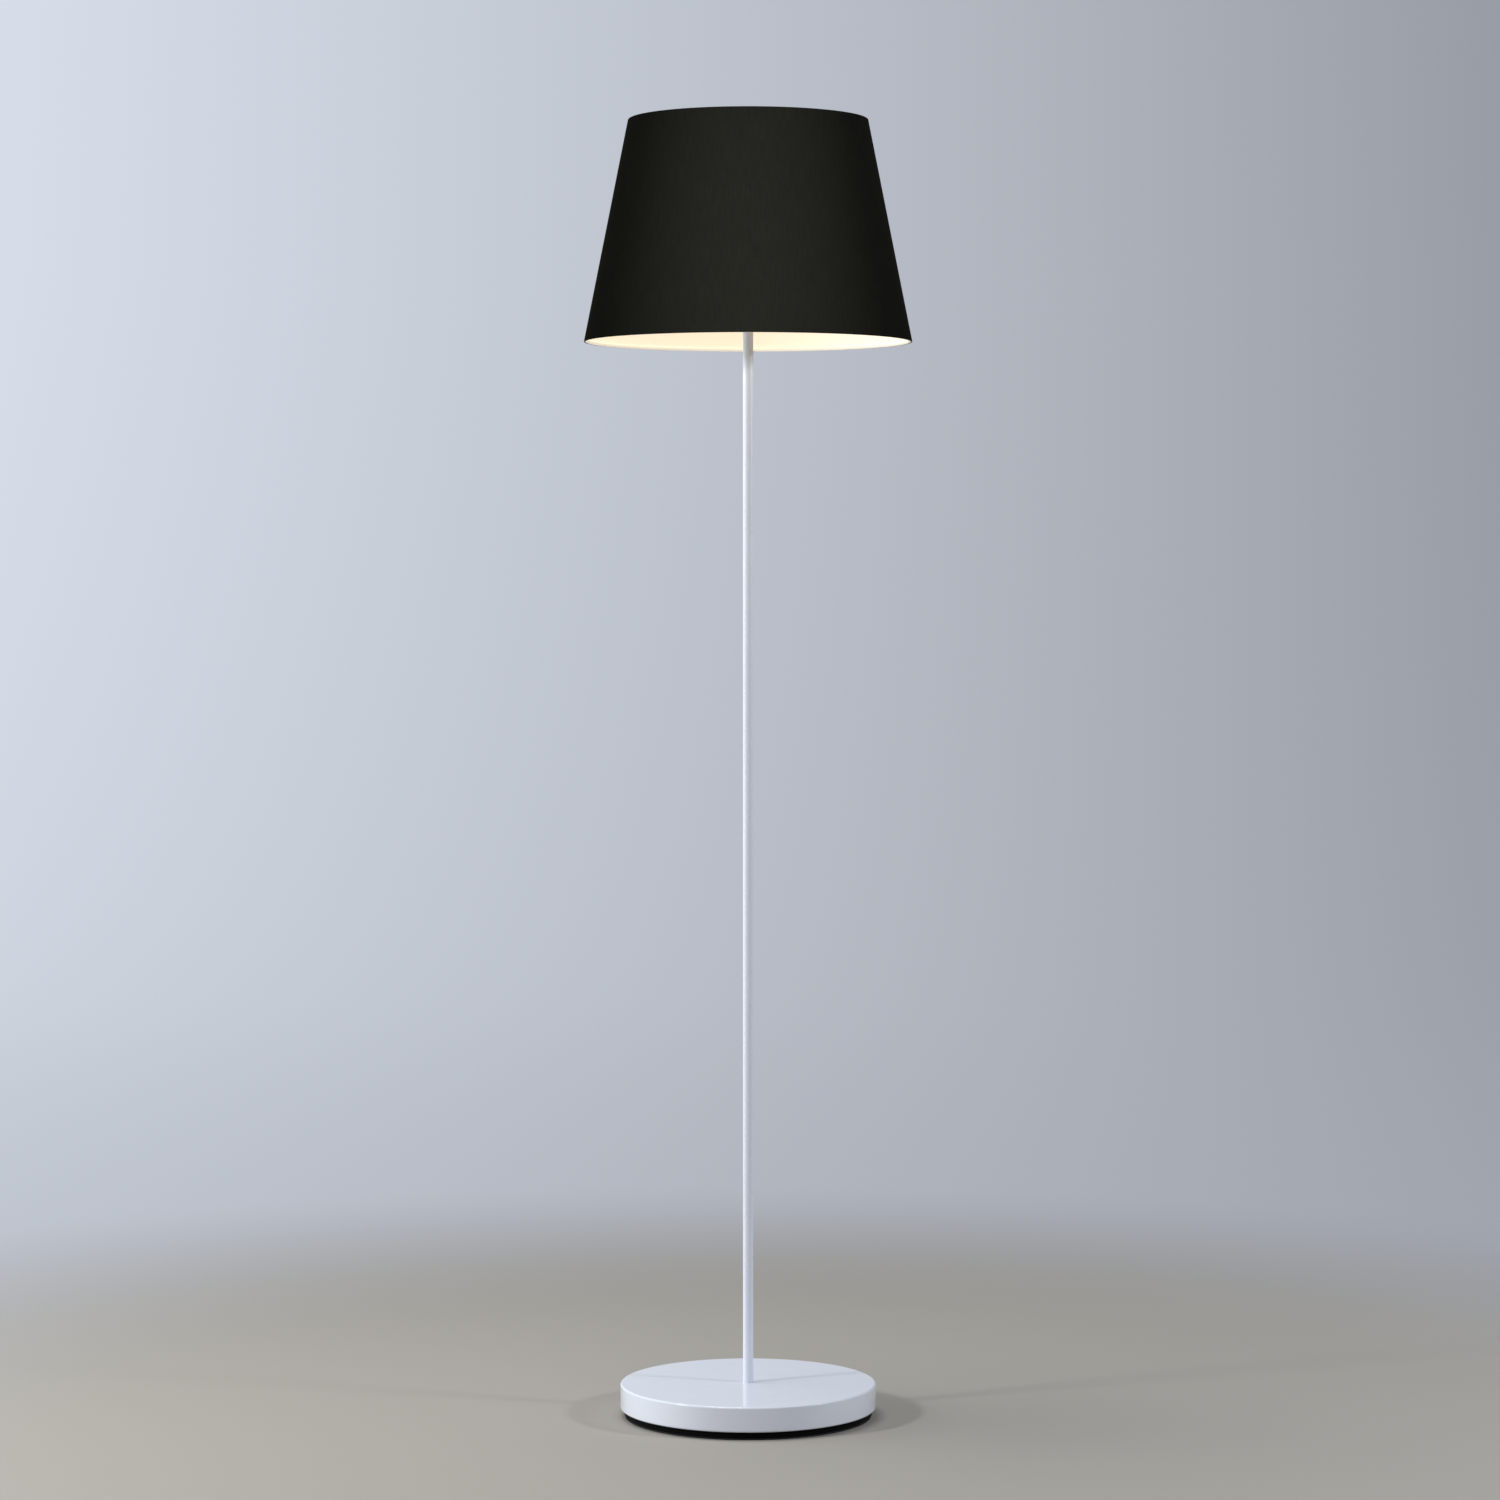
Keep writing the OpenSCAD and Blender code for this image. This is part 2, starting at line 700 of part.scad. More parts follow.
// Solid half section of the cap, shrunk all round by one wall
module cap_section(wall) {
    r = cap_d / 2 - wall;
    shoulder_z = neck_h + cap_shoulder_r;
    translate([0, holder_z]) {
        translate([0, shoulder_z]) square([r, cap_h - shoulder_z]);
        translate([0, neck_h + wall]) square([cap_d / 2 - cap_shoulder_r, shoulder_z - neck_h - wall]);
        intersection() {
            translate([cap_d / 2 - cap_shoulder_r, shoulder_z]) circle(cap_shoulder_r - wall);
            square([cap_d, shoulder_z + eps]);
        }
    }
}

module holder_cap() {
    ledge_r = carrier_r - ledge_w;
    color("white")
        difference() {
            rotate_extrude()
                difference() {
                    union() {
                        cap_section(0);
                        translate([0, holder_z]) square([neck_d / 2, neck_thread_l]);
                    }
                    difference() {
                        union() {
                            cap_section(cap_wall);
                            translate([0, cap_top_z - eps]) square([cap_in_r, 2 * eps]);
                        }
                        translate([0, holder_z]) square([neck_d / 2, neck_thread_l]);
                        translate([ledge_r, carrier_z - ledge_t]) square([cap_d, ledge_t]);
                    }
                    translate([0, holder_z - eps]) square([thread_r, neck_thread_l + 2 * eps]);
                }
            for (i = [0 : cap_flutes - 1])
                rotate(360 / cap_flutes * (i + 0.5))
                    translate([cap_d / 2 + flute_r - flute_depth, 0, holder_z + neck_h + cap_shoulder_r])
                        cylinder(r = flute_r, h = cap_h, $fn = 24);
            translate([0, 0, grub_z]) rotate([-90, 0, 0]) cylinder(r = grub_d / 2, h = neck_d, $fn = 32);
        }
}

module holder_grub_screw() {
    end_y = neck_d / 2 - grub_sink;
    color("silver")
        difference() {
            translate([0, thread_r, grub_z]) rotate([-90, 0, 0])
                cylinder(r = grub_d / 2, h = end_y - thread_r, $fn = 32);
            cylinder(r = thread_r, h = 2 * holder_z);
            translate([-grub_slot_w / 2, end_y - grub_slot_depth, grub_z - grub_d])
                cube([grub_slot_w, 2 * grub_slot_depth, 2 * grub_d]);
        }
}

// Places its children at both terminals
module at_terminals() {
    for (side = [-1, 1]) translate([side * terminal_x, 0, carrier_z]) children();
}

module holder_insert() {
    color("ivory")
        difference() {
            rotate_extrude() disc_section(carrier_r, carrier_z, carrier_top_z, moulded_edge_r, moulded_edge_r);
            at_terminals() translate([-terminal_w / 2, -terminal_l / 2, -eps])
                cube([terminal_w, terminal_l, terminal_seat + eps]);
        }
}

module holder_screw_shell() {
    top_z = carrier_top_z + screw_shell_h;
    color("goldenrod")
        rotate_extrude()
            difference() {
                translate([screw_shell_r - screw_shell_foot, carrier_top_z])
                    square([screw_shell_foot + screw_shell_t, screw_shell_h]);
                translate([0, carrier_top_z + screw_shell_t]) square([screw_shell_r, top_z]);
            }
}

module holder_centre_contact() {
    half_w = leaf_w / 2;
    x0 = -leaf_flat - leaf_rise / 2;
    color("goldenrod")
        translate([0, half_w, carrier_top_z]) rotate([90, 0, 0])
            linear_extrude(leaf_w)
                polygon([
                    [x0, 0], [x0 + leaf_flat, 0], [x0 + leaf_flat + leaf_rise, leaf_rise],
                    [x0 + 2 * leaf_flat, leaf_rise], [x0 + 2 * leaf_flat, leaf_rise + leaf_t],
                    [x0 + leaf_flat + leaf_rise - leaf_t / 2, leaf_rise + leaf_t],
                    [x0 + leaf_flat - leaf_t / 2, leaf_t], [x0, leaf_t]
                ]);
}

module holder_terminals() {
    low = terminal_seat - terminal_h;
    color("gold")
        at_terminals() difference() {
            translate([-terminal_w / 2, -terminal_l / 2, low]) cube([terminal_w, terminal_l, terminal_h]);
            translate([0, -terminal_l / 2 - eps, low + terminal_h / 2]) rotate([-90, 0, 0])
                cylinder(r = terminal_hole_d / 2, h = terminal_l + 2 * eps, $fn = 32);
            translate([0, 0, low - eps]) cylinder(r = terminal_screw_d / 2, h = terminal_h / 2 + eps, $fn = 32);
        }
}

module terminal_screws() {
    low = terminal_seat - terminal_h;
    color("silver")
        at_terminals() difference() {
            translate([0, 0, low - terminal_screw_proud])
                cylinder(r = terminal_screw_d / 2, h = terminal_screw_proud + terminal_h / 2, $fn = 32);
            translate([-terminal_screw_d, -terminal_slot_w / 2, low - terminal_screw_proud - eps])
                cube([2 * terminal_screw_d, terminal_slot_w, terminal_screw_proud]);
        }
}

module holder_skirt() {
    color("white")
        rotate_extrude()
            difference() {
                union() {
                    translate([0, cap_top_z - spigot_h]) square([spigot_r, spigot_h + clear]);
                    translate([0, cap_top_z]) square([cap_d / 2, collar_h + flange_t]);
                    disc_section(flange_d / 2, flange_z, fitter_z, moulded_edge_r, fine_edge_r);
                    disc_section(skirt_thread_d / 2, fitter_z - clear, skirt_top_z, fine_edge_r, thread_end_r);
                }
                translate([0, cap_top_z - spigot_h - eps])
                    square([skirt_bore / 2, skirt_top_z - skirt_mouth_t - cap_top_z + spigot_h]);
                translate([0, skirt_top_z - skirt_mouth_t - clear])
                    square([skirt_mouth_d / 2, skirt_mouth_t + 2 * clear]);
            }
}

// ---------- shade ----------

module shade_ring() {
    bore_r = skirt_thread_d / 2 + ring_clearance;
    color("white")
        difference() {
            rotate_extrude()
                difference() {
                    union() {
                        disc_section(
                            ring_flange_d / 2, ring_z0, ring_z0 + ring_flange_t,
                            moulded_edge_r, moulded_edge_r
                        );
                        disc_section(ring_grip_d / 2, ring_z0, ring_z0 + ring_h, fine_edge_r, ring_edge_r);
                    }
                    translate([0, ring_z0 - eps]) square([bore_r, ring_h + 2 * eps]);
                }
            for (i = [0 : ring_notches - 1])
                rotate(360 / ring_notches * i)
                    translate([ring_grip_d / 2 + flute_r - flute_depth, 0, ring_z0 + ring_flange_t])
                        cylinder(r = flute_r, h = ring_h, $fn = 24);
        }
}

module shade_fitter() {
    r = fitter_d / 2;
    rim_z = fitter_z + fitter_rim_h;
    color("white")
        rotate_extrude()
            difference() {
                disc_section(r, fitter_z, rim_z, fitter_bend_r, fine_edge_r);
                disc_section(
                    r - fitter_t, fitter_z + fitter_t, rim_z + clear,
                    fitter_bend_r - fitter_t, fine_edge_r
                );
                translate([0, fitter_z - eps]) square([fitter_hole_d / 2, fitter_t + 2 * eps]);
            }
}

// One arm in the XZ plane: foot on the fitter's rim, bend, straight run to the top hoop
module arm(extra) {
    r = arm_wire_d / 2 + extra;
    translate([fitter_d / 2 - fitter_t, 0, arm_z]) rotate([0, 90, 0])
        cylinder(r = r, h = arm_foot + fitter_t, $fn = 32);
    translate([arm_bend_x, 0, arm_z + arm_bend_mid_r]) rotate([90, 0, 0])
        rotate_extrude(angle = arm_slope, start = -90)
            translate([arm_bend_mid_r, 0]) circle(r + arm_bend_swell, $fn = 32);
    translate([
        arm_bend_x + arm_bend_mid_r * sin(arm_slope), 0,
        arm_z + arm_bend_mid_r * (1 - cos(arm_slope))
    ]) rotate([0, 90 - arm_slope, 0]) cylinder(r = r, h = arm_run - arm_cope, $fn = 32);
}

module at_arms() {
    for (i = [0 : arm_count - 1]) rotate(90 + 360 / arm_count * i) children();
}

module shade_arms() {
    color("white")
        difference() {
            at_arms() arm(0);
            hoop(top_hoop, hoop_r);
            translate([0, 0, fitter_z - clear]) cylinder(r = fitter_d / 2, h = fitter_rim_h + 2 * clear);
        }
}

module shade_top_ring() {
    color("silver") hoop(top_hoop, hoop_r);
}

module shade_bottom_ring() {
    color("silver") hoop(bottom_hoop, hoop_r);
}

module shade_liner() {
    low_z = shade_bottom_z + fabric_t;
    high_z = shade_top_z - fabric_t;
    color("lemonchiffon")
        rotate_extrude()
            polygon([
                wall_point(low_z, skin_t), wall_point(low_z, fabric_t),
                wall_point(high_z, fabric_t), wall_point(high_z, skin_t)
            ]);
}

// The cover is turned in over both edges of the lining
module shade_fabric() {
    low_z = shade_bottom_z;
    high_z = shade_top_z;
    color("black")
        rotate_extrude()
            polygon([
                wall_point(low_z, skin_t), wall_point(low_z, cover_bevel),
                wall_point(low_z + cover_bevel, 0), wall_point(high_z - cover_bevel, 0),
                wall_point(high_z, cover_bevel), wall_point(high_z, skin_t),
                wall_point(high_z - fabric_t, skin_t), wall_point(high_z - fabric_t, fabric_t),
                wall_point(low_z + fabric_t, fabric_t), wall_point(low_z + fabric_t, skin_t)
            ]);
}

// Corners of a tape folded round a hoop in flats that touch a circle of radius r
function tape_fold(centre, r) =
    [for (i = [0 : tape_flats - 1]) centre + r / cos(180 / tape_flats) * [
        cos(360 / tape_flats * (i + 0.5)), sin(360 / tape_flats * (i + 0.5))
    ]];

// Tape folded round a hoop and glued to the lining's inner face
module hoop_tape(centre) {
    above = centre[1] + 2 * hoop_up;
    below = centre[1] - 2 * hoop_up;
    rotate_extrude()
        difference() {
            polygon(tape_fold(centre, hoop_r + tape_t));
            polygon(tape_fold(centre, hoop_r));
            polygon([
                wall_point(below, skin_t), wall_point(below, -skin_t),
                wall_point(above, -skin_t), wall_point(above, skin_t)
            ]);
        }
}

module shade_bottom_tape() {
    color("white") hoop_tape(bottom_hoop);
}

module shade_top_tape() {
    color("white")
        difference() {
            hoop_tape(top_hoop);
            at_arms() arm(arm_notch);
        }
}

// ---------- bulb ----------

module bulb_contact() {
    color("silver")
        translate([0, 0, bulb_z]) cylinder(r1 = tip_d / 2 - tip_taper, r2 = tip_d / 2, h = tip_h);
}

module bulb_insulator() {
    color("black")
        rotate_extrude()
            polygon([
                [0, bulb_z + tip_h], [tip_d / 2, bulb_z + tip_h],
                [insulator_d / 2, cap_z0], [insulator_d / 2, cap_z0 + bulb_cap_t], [0, cap_z0 + bulb_cap_t]
            ]);
}

module bulb_cap() {
    r = bulb_cap_d / 2;
    color("silver")
        rotate_extrude()
            difference() {
                disc_section(r, cap_z0, cap_z1, bulb_toe_r, fine_edge_r);
                disc_section(
                    r - bulb_cap_t, cap_z0 + bulb_cap_t, cap_z1 + clear,
                    bulb_toe_r - bulb_cap_t, fine_edge_r
                );
                translate([0, cap_z0 - eps]) square([insulator_d / 2, 2 * bulb_cap_t]);
            }
}

// Half section of the bulb's body, shrunk all round by one wall
module bulb_section(wall) {
    difference() {
        translate([0, cap_z1 - clear]) square([seam_r + clear, seam_z - cap_z1 + clear]);
        translate([sweep_x, sweep_z]) circle(bulb_sweep_r + wall, $fn = 360);
        translate([neck_r - wall, cap_z1 - 2 * clear])
            square([bulb_sweep_r, sweep_z - cap_z1 + 2 * clear]);
    }
}

module bulb_housing() {
    color("white")
        rotate_extrude()
            difference() {
                union() {
                    difference() {
                        bulb_section(0);
                        translate([0, cap_z1 - 2 * clear]) square([neck_r + clear, 2 * clear]);
                    }
                    translate([0, cap_z1 - bulb_plug_h])
                        square([bulb_cap_d / 2 - bulb_cap_t, bulb_plug_h + clear]);
                }
                bulb_section(bulb_wall);
                translate([0, cap_z1 - bulb_plug_h - clear])
                    square([neck_r - bulb_wall, bulb_plug_h + 2 * clear]);
            }
}

module bulb_heat_spreader() {
    plate_z = seam_z - spreader_t;
    color("lightgray")
        rotate_extrude()
            difference() {
                union() {
                    intersection() {
                        translate([0, plate_z]) square([seam_r, spreader_t]);
                        bulb_section(bulb_wall);
                    }
                    translate([spreader_skirt_d / 2 - spreader_t, plate_z - spreader_skirt])
                        square([spreader_t, spreader_skirt + spreader_t / 2]);
                }
                translate([0, plate_z - clear]) square([spreader_hole_d / 2, spreader_t + 2 * clear]);
            }
}

module bulb_led_board() {
    board_r = seam_r - bulb_wall - board_gap;
    chip_ring_r = board_r - 2 * led_size;
    color("whitesmoke") {
        difference() {
            translate([0, 0, seam_z]) cylinder(r = board_r, h = board_t);
            translate([0, 0, seam_z - clear]) cylinder(r = spreader_hole_d / 2, h = board_t + 2 * clear);
        }
        for (i = [0 : led_count - 1])
            rotate(360 / led_count * i)
                translate([chip_ring_r - led_size / 2, -led_size / 2, seam_z + board_t - eps])
                    cube([led_size, led_size, led_t + eps]);
    }
}

module bulb_driver_board() {
    top_z = seam_z - spreader_t;
    low_z = top_z - driver_h;
    margin = 3;
    color("darkgreen")
        translate([-driver_w / 2, 0, low_z]) cube([driver_w, board_t, driver_h]);
    color("darkslategray") {
        translate([-transformer[0] / 2, board_t - eps, top_z - transformer[2] - margin]) cube(transformer);
        translate([capacitor_d / 4, eps - capacitor_d / 2, low_z + margin])
            cylinder(r = capacitor_d / 2, h = capacitor_l, $fn = 32);
    }
}

module bulb_globe() {
    color("ivory")
        rotate_extrude()
            difference() {
                translate([0, globe_z]) circle(globe_r, $fn = 180);
                translate([0, globe_z]) circle(globe_r - globe_wall, $fn = 180);
                translate([0, globe_z - bulb_d]) square([bulb_d, seam_z - globe_z + bulb_d]);
                translate([-bulb_d, globe_z - bulb_d]) square([bulb_d, 2 * bulb_d]);
            }
}

foot_pad();
bottom_tray();
tray_screws();
base_weight();
weight_inserts();
base_shell();
cable_bush();
base_nipple();
base_washer();
base_lock_washer();
base_nut();
stem_section(1);  // stem_section_1
stem_section(2);  // stem_section_2
stem_section(3);  // stem_section_3
stem_section(4);  // stem_section_4
stem_nipple(1);  // stem_nipple_1
stem_nipple(2);  // stem_nipple_2
stem_nipple(3);  // stem_nipple_3
holder_nipple();
holder_cap();
holder_grub_screw();
holder_insert();
holder_screw_shell();
holder_centre_contact();
holder_terminals();
terminal_screws();
holder_skirt();
shade_ring();
shade_fitter();
shade_arms();
shade_top_ring();
shade_bottom_ring();
shade_liner();
shade_fabric();
shade_top_tape();
shade_bottom_tape();
bulb_contact();
bulb_insulator();
bulb_cap();
bulb_housing();
bulb_heat_spreader();
bulb_led_board();
bulb_driver_board();
bulb_globe();
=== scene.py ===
import math

import bmesh
import bpy
from mathutils import Matrix, Vector, noise


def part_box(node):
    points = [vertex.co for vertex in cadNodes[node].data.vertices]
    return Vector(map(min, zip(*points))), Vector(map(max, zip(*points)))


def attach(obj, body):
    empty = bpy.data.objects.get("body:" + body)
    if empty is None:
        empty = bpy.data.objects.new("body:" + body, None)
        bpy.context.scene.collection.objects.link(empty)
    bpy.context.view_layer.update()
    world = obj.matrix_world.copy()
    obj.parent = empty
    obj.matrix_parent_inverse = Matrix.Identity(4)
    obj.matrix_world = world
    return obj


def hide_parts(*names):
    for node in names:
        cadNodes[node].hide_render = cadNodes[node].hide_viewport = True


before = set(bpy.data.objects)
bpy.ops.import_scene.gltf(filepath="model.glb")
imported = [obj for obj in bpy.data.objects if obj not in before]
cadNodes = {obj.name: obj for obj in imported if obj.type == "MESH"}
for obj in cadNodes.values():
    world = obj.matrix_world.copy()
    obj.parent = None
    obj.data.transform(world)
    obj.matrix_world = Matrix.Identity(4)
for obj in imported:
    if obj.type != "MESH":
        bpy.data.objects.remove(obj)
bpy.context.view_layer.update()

scene = bpy.context.scene
mm = 0.001
tau = 2 * math.pi
print("frame loaded with", len(cadNodes), "parts")


# Sizes of the frame's parts

def heightRadii(name, z, reach=0.3 * mm):  # smallest and largest radius of a part near a height
    radii = [math.hypot(v.co.x, v.co.y) for v in cadNodes[name].data.vertices if abs(v.co.z - z) < reach]
    return min(radii), max(radii)


def zSpan(name):
    low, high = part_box(name)
    return low[2], high[2]


# Nodes of a material

def addNode(tree, kind, inputs=None, **settings):
    node = tree.nodes.new("ShaderNode" + kind)
    for name, value in settings.items():
        setattr(node, name, value)
    for name, value in (inputs or {}).items():
        if isinstance(value, bpy.types.NodeSocket):
            tree.links.new(value, node.inputs[name])
        else:
            node.inputs[name].default_value = value
    return node


def calc(tree, operation, a, b=0.0):
    return addNode(tree, "Math", {0: a, 1: b}, operation=operation).outputs[0]


def speckles(tree, coords, size, detail=3.0, roughness=0.5):  # size in metres, 0 to 1 out
    node = addNode(tree, "TexNoise", {"Vector": coords, "Scale": 1 / size, "Detail": detail,
                                      "Roughness": roughness})
    return node.outputs["Fac"]


def spread(tree, value, low, high, fromLow=0.3, fromHigh=0.7):
    node = addNode(tree, "MapRange", {"Value": value, "From Min": fromLow, "From Max": fromHigh,
                                      "To Min": low, "To Max": high})
    return node.outputs[0]


def tint(tree, factor, colorA, colorB):
    node = addNode(tree, "Mix", {0: factor, 6: colorA, 7: colorB}, data_type="RGBA")
    return node.outputs[2]


def shade(color, amount):  # the same colour, lighter or darker
    return tuple(min(1.0, c * amount) for c in color[:3]) + (1.0,)


def objectCoords(tree):
    return addNode(tree, "TexCoord").outputs["Object"]


finishDefaults = {"metal": 0.0, "bump": 0.3, "grainDetail": 2.0, "wearShare": 0.4, "wearDetail": 5.0,
                  "sockets": {}}


def newFinish(name, look):  # mottled colour, worn gloss and a fine grain
    look = {**finishDefaults, **look}
    finish = bpy.data.materials.new(name)
    finish.use_nodes = True
    tree = finish.node_tree
    shader = tree.nodes["Principled BSDF"]
    shader.inputs["Metallic"].default_value = look["metal"]
    for socket, value in look["sockets"].items():
        shader.inputs[socket].default_value = value
    coords = objectCoords(tree)
    mottle = speckles(tree, coords, look["mottleSize"])
    change = look["mottle"]
    color = tint(tree, mottle, shade(look["color"], 1 - change), shade(look["color"], 1 + change))
    tree.links.new(color, shader.inputs["Base Color"])
    wear = speckles(tree, coords, look["mottleSize"] * look["wearShare"], look["wearDetail"])
    rough = spread(tree, wear, look["rough"] - look["roughSpread"], look["rough"] + look["roughSpread"])
    tree.links.new(rough, shader.inputs["Roughness"])
    grain = speckles(tree, coords, look["grainSize"], look["grainDetail"])
    bump = addNode(tree, "Bump", {"Height": grain, "Strength": look["bump"],
                                  "Distance": look["grainHeight"]})
    tree.links.new(bump.outputs[0], shader.inputs["Normal"])
    return finish, tree, shader, coords


def finishOf(name, look):
    return newFinish(name, look)[0]


def dress(finish, *names):
    for name in names:
        for slot in cadNodes[name].material_slots:
            slot.material = finish


# Camera, lamps and stage

view = {"x": 0.0022, "distance": 4.782, "height": 0.972, "tiltDown": 2.28, "lens": 98.4,
        "sensor": 36.0, "reach": 60}
camera = bpy.data.objects.new("camera", bpy.data.cameras.new("camera"))
camera.data.lens = view["lens"]
camera.data.sensor_width = view["sensor"]
camera.location = (view["x"], -view["distance"], view["height"])
camera.rotation_euler = (math.radians(90 - view["tiltDown"]), 0, 0)
camera.data.clip_end = view["reach"]
scene.collection.objects.link(camera)
scene.camera = camera
scene.view_settings.view_transform = "Standard"


def softLamp(name, plan):
    data = bpy.data.lights.new(name, "AREA")
    data.shape = "RECTANGLE"
    data.size, data.size_y = plan["size"]
    data.energy = plan["power"]
    data.color = plan["color"]
    lamp = bpy.data.objects.new(name, data)
    lamp.location = plan["spot"]
    lamp.rotation_euler = (Vector(plan["aim"]) - Vector(plan["spot"])).to_track_quat("-Z", "Y").to_euler()
    lamp.visible_camera = False
    lamp.visible_glossy = plan["mirrored"]
    scene.collection.objects.link(lamp)
    return lamp


roomPlans = {
    "windowLamp": {"spot": (-2.9, 0.2, 0.85), "aim": (0, 0, 0.5), "size": (2.4, 1.7), "power": 48,
                   "color": (0.90, 0.955, 1.0), "mirrored": False},
    "keyLamp": {"spot": (-2.18, -1.0, 1.58), "aim": (0, 0, 0.4), "size": (0.26, 0.26), "power": 33,
                "color": (1.0, 0.985, 0.96), "mirrored": True},
    "fillLamp": {"spot": (2.42, -0.82, 1.55), "aim": (0, 0, 0.6), "size": (0.26, 0.26), "power": 30,
                 "color": (0.93, 0.96, 1.0), "mirrored": True},
    "topLamp": {"spot": (-0.5, 0.1, 3.2), "aim": (0, 0, 0), "size": (1.0, 1.0), "power": 32,
                "color": (1.0, 0.98, 0.94), "mirrored": True}}
roomLamps = [softLamp(name, plan) for name, plan in roomPlans.items()]

# Narrow lamps for the dark cover alone, one in front and two behind

coverLight = {"turns": (0, 130, 230), "away": 0.62, "height": 1.43, "aim": (0, 0, 1.40),
              "size": (0.10, 0.6), "power": 4.8, "color": (1.0, 1.0, 1.0), "mirrored": False}
coverLamps = []
for turn in coverLight["turns"]:
    a = math.radians(turn)
    spot = (coverLight["away"] * math.sin(a), -coverLight["away"] * math.cos(a), coverLight["height"])
    coverLamps.append(softLamp("coverLamp" + str(turn), {**coverLight, "spot": spot}))


def linkLight(source, objects, reach):  # the light reaches only these objects, or all but these
    group = bpy.data.collections.new(source.name + "Reach")
    source.light_linking.receiver_collection = group
    for item in objects:
        group.objects.link(item)
    for entry in group.collection_objects:
        entry.light_linking.link_state = reach


# Round floor that runs up into a wall on all sides, so that the lamp can be seen from anywhere

# The backdrop's colours are painted light and shade: brighter on the left than on the right, and dimmer
# close in than far out and up the wall
stageLook = {"floor": (0.385, 0.367, 0.338, 1), "floorRough": 0.9, "floorShine": 0.1,
             "wallLeft": (0.72, 0.765, 0.855, 1), "wallRight": (0.28, 0.295, 0.335, 1),
             "shadeAcross": 2.6, "rings": (0.6, 1.2, 2.4), "radius": 7.5, "bend": 3.0, "bendSteps": 16,
             "tall": 9.0, "columns": 96, "fadeFrom": 0.75, "fadeTo": 1.9, "nearPaintedShade": 0.88,
             "floorBelow": 0.01}


def buildStage(look):
    profile = [(r, 0.0) for r in look["rings"]]
    for i in range(look["bendSteps"] + 1):
        a = math.pi / 2 * i / look["bendSteps"]
        profile.append((look["radius"] + look["bend"] * (math.sin(a) - 1), look["bend"] * (1 - math.cos(a))))
    profile.append((look["radius"], look["tall"]))
    columns = look["columns"]
    points = [(0, 0, 0)]
    for r, z in profile:
        points += [(r * math.cos(tau * i / columns), r * math.sin(tau * i / columns), z)
                   for i in range(columns)]
    faces = [(0, 1 + i, 1 + (i + 1) % columns) for i in range(columns)]
    for row in range(len(profile) - 1):
        for i in range(columns):
            here, there = 1 + row * columns + i, 1 + row * columns + (i + 1) % columns
            faces.append((here, here + columns, there + columns, there))
    mesh = bpy.data.meshes.new("studioSweep")
    mesh.from_pydata(points, [], faces)
    for face in mesh.polygons:
        face.use_smooth = True
    sweep = bpy.data.objects.new("studioSweep", mesh)
    scene.collection.objects.link(sweep)
    mesh.materials.append(studioPaper(look))


def studioPaper(look):  # lit floor round the lamp, fading into a backdrop that throws no light
    paper = bpy.data.materials.new("studioPaper")
    paper.use_nodes = True
    paper.cycles.emission_sampling = "NONE"
    tree = paper.node_tree
    floorShader = tree.nodes["Principled BSDF"]
    place = addNode(tree, "SeparateXYZ", {0: objectCoords(tree)})
    # painted light on the backdrop: its colour runs from bright on the left to dark on the right
    across = spread(tree, place.outputs["X"], 0, 1, -look["shadeAcross"], look["shadeAcross"])
    paintedLightAcross = tint(tree, across, look["wallLeft"], look["wallRight"])
    ground = addNode(tree, "VectorMath", {0: objectCoords(tree)}, operation="LENGTH").outputs["Value"]
    fade = addNode(tree, "MapRange", {"Value": ground, "From Min": look["fadeFrom"],
                                      "From Max": look["fadeTo"], "To Min": 0, "To Max": 1},
                   interpolation_type="SMOOTHSTEP").outputs[0]
    # painted shade on the backdrop: dimmer close in, full brightness far out and up the wall
    paintedShadeNear = spread(tree, ground, look["nearPaintedShade"], 1.0, look["fadeTo"], look["radius"])
    wall = addNode(tree, "VectorMath", {0: paintedLightAcross, "Scale": paintedShadeNear}, operation="SCALE").outputs[0]
    floorShader.inputs["Base Color"].default_value = look["floor"]
    floorShader.inputs["Roughness"].default_value = look["floorRough"]
    floorShader.inputs["Specular IOR Level"].default_value = look["floorShine"]
    glow = addNode(tree, "Emission", {"Color": wall, "Strength": 1.0})
    rays = addNode(tree, "LightPath").outputs
    seen = calc(tree, "MAXIMUM", rays["Is Camera Ray"],
                calc(tree, "MAXIMUM", rays["Is Glossy Ray"], rays["Is Transmission Ray"]))
    raised = calc(tree, "GREATER_THAN", place.outputs["Z"], look["floorBelow"])
    clear = addNode(tree, "BsdfTransparent")
    unseen = addNode(tree, "MixShader", {0: raised, 1: floorShader.outputs[0], 2: clear.outputs[0]})
    mixed = addNode(tree, "MixShader", {0: calc(tree, "MULTIPLY", fade, seen), 1: unseen.outputs[0],
                                        2: glow.outputs[0]})
    tree.links.new(mixed.outputs[0], tree.nodes["Material Output"].inputs["Surface"])
    return paper


buildStage(stageLook)

skyLook = {"Color": (0.90, 0.945, 1.0, 1), "Strength": 0.25}
world = bpy.data.worlds.new("studioWorld")
scene.world = world
world.use_nodes = True
for socket, value in skyLook.items():
    world.node_tree.nodes["Background"].inputs[socket].default_value = value
print("camera, lamps and stage set")


# White powder coat of the base shell, the stem and the fitter

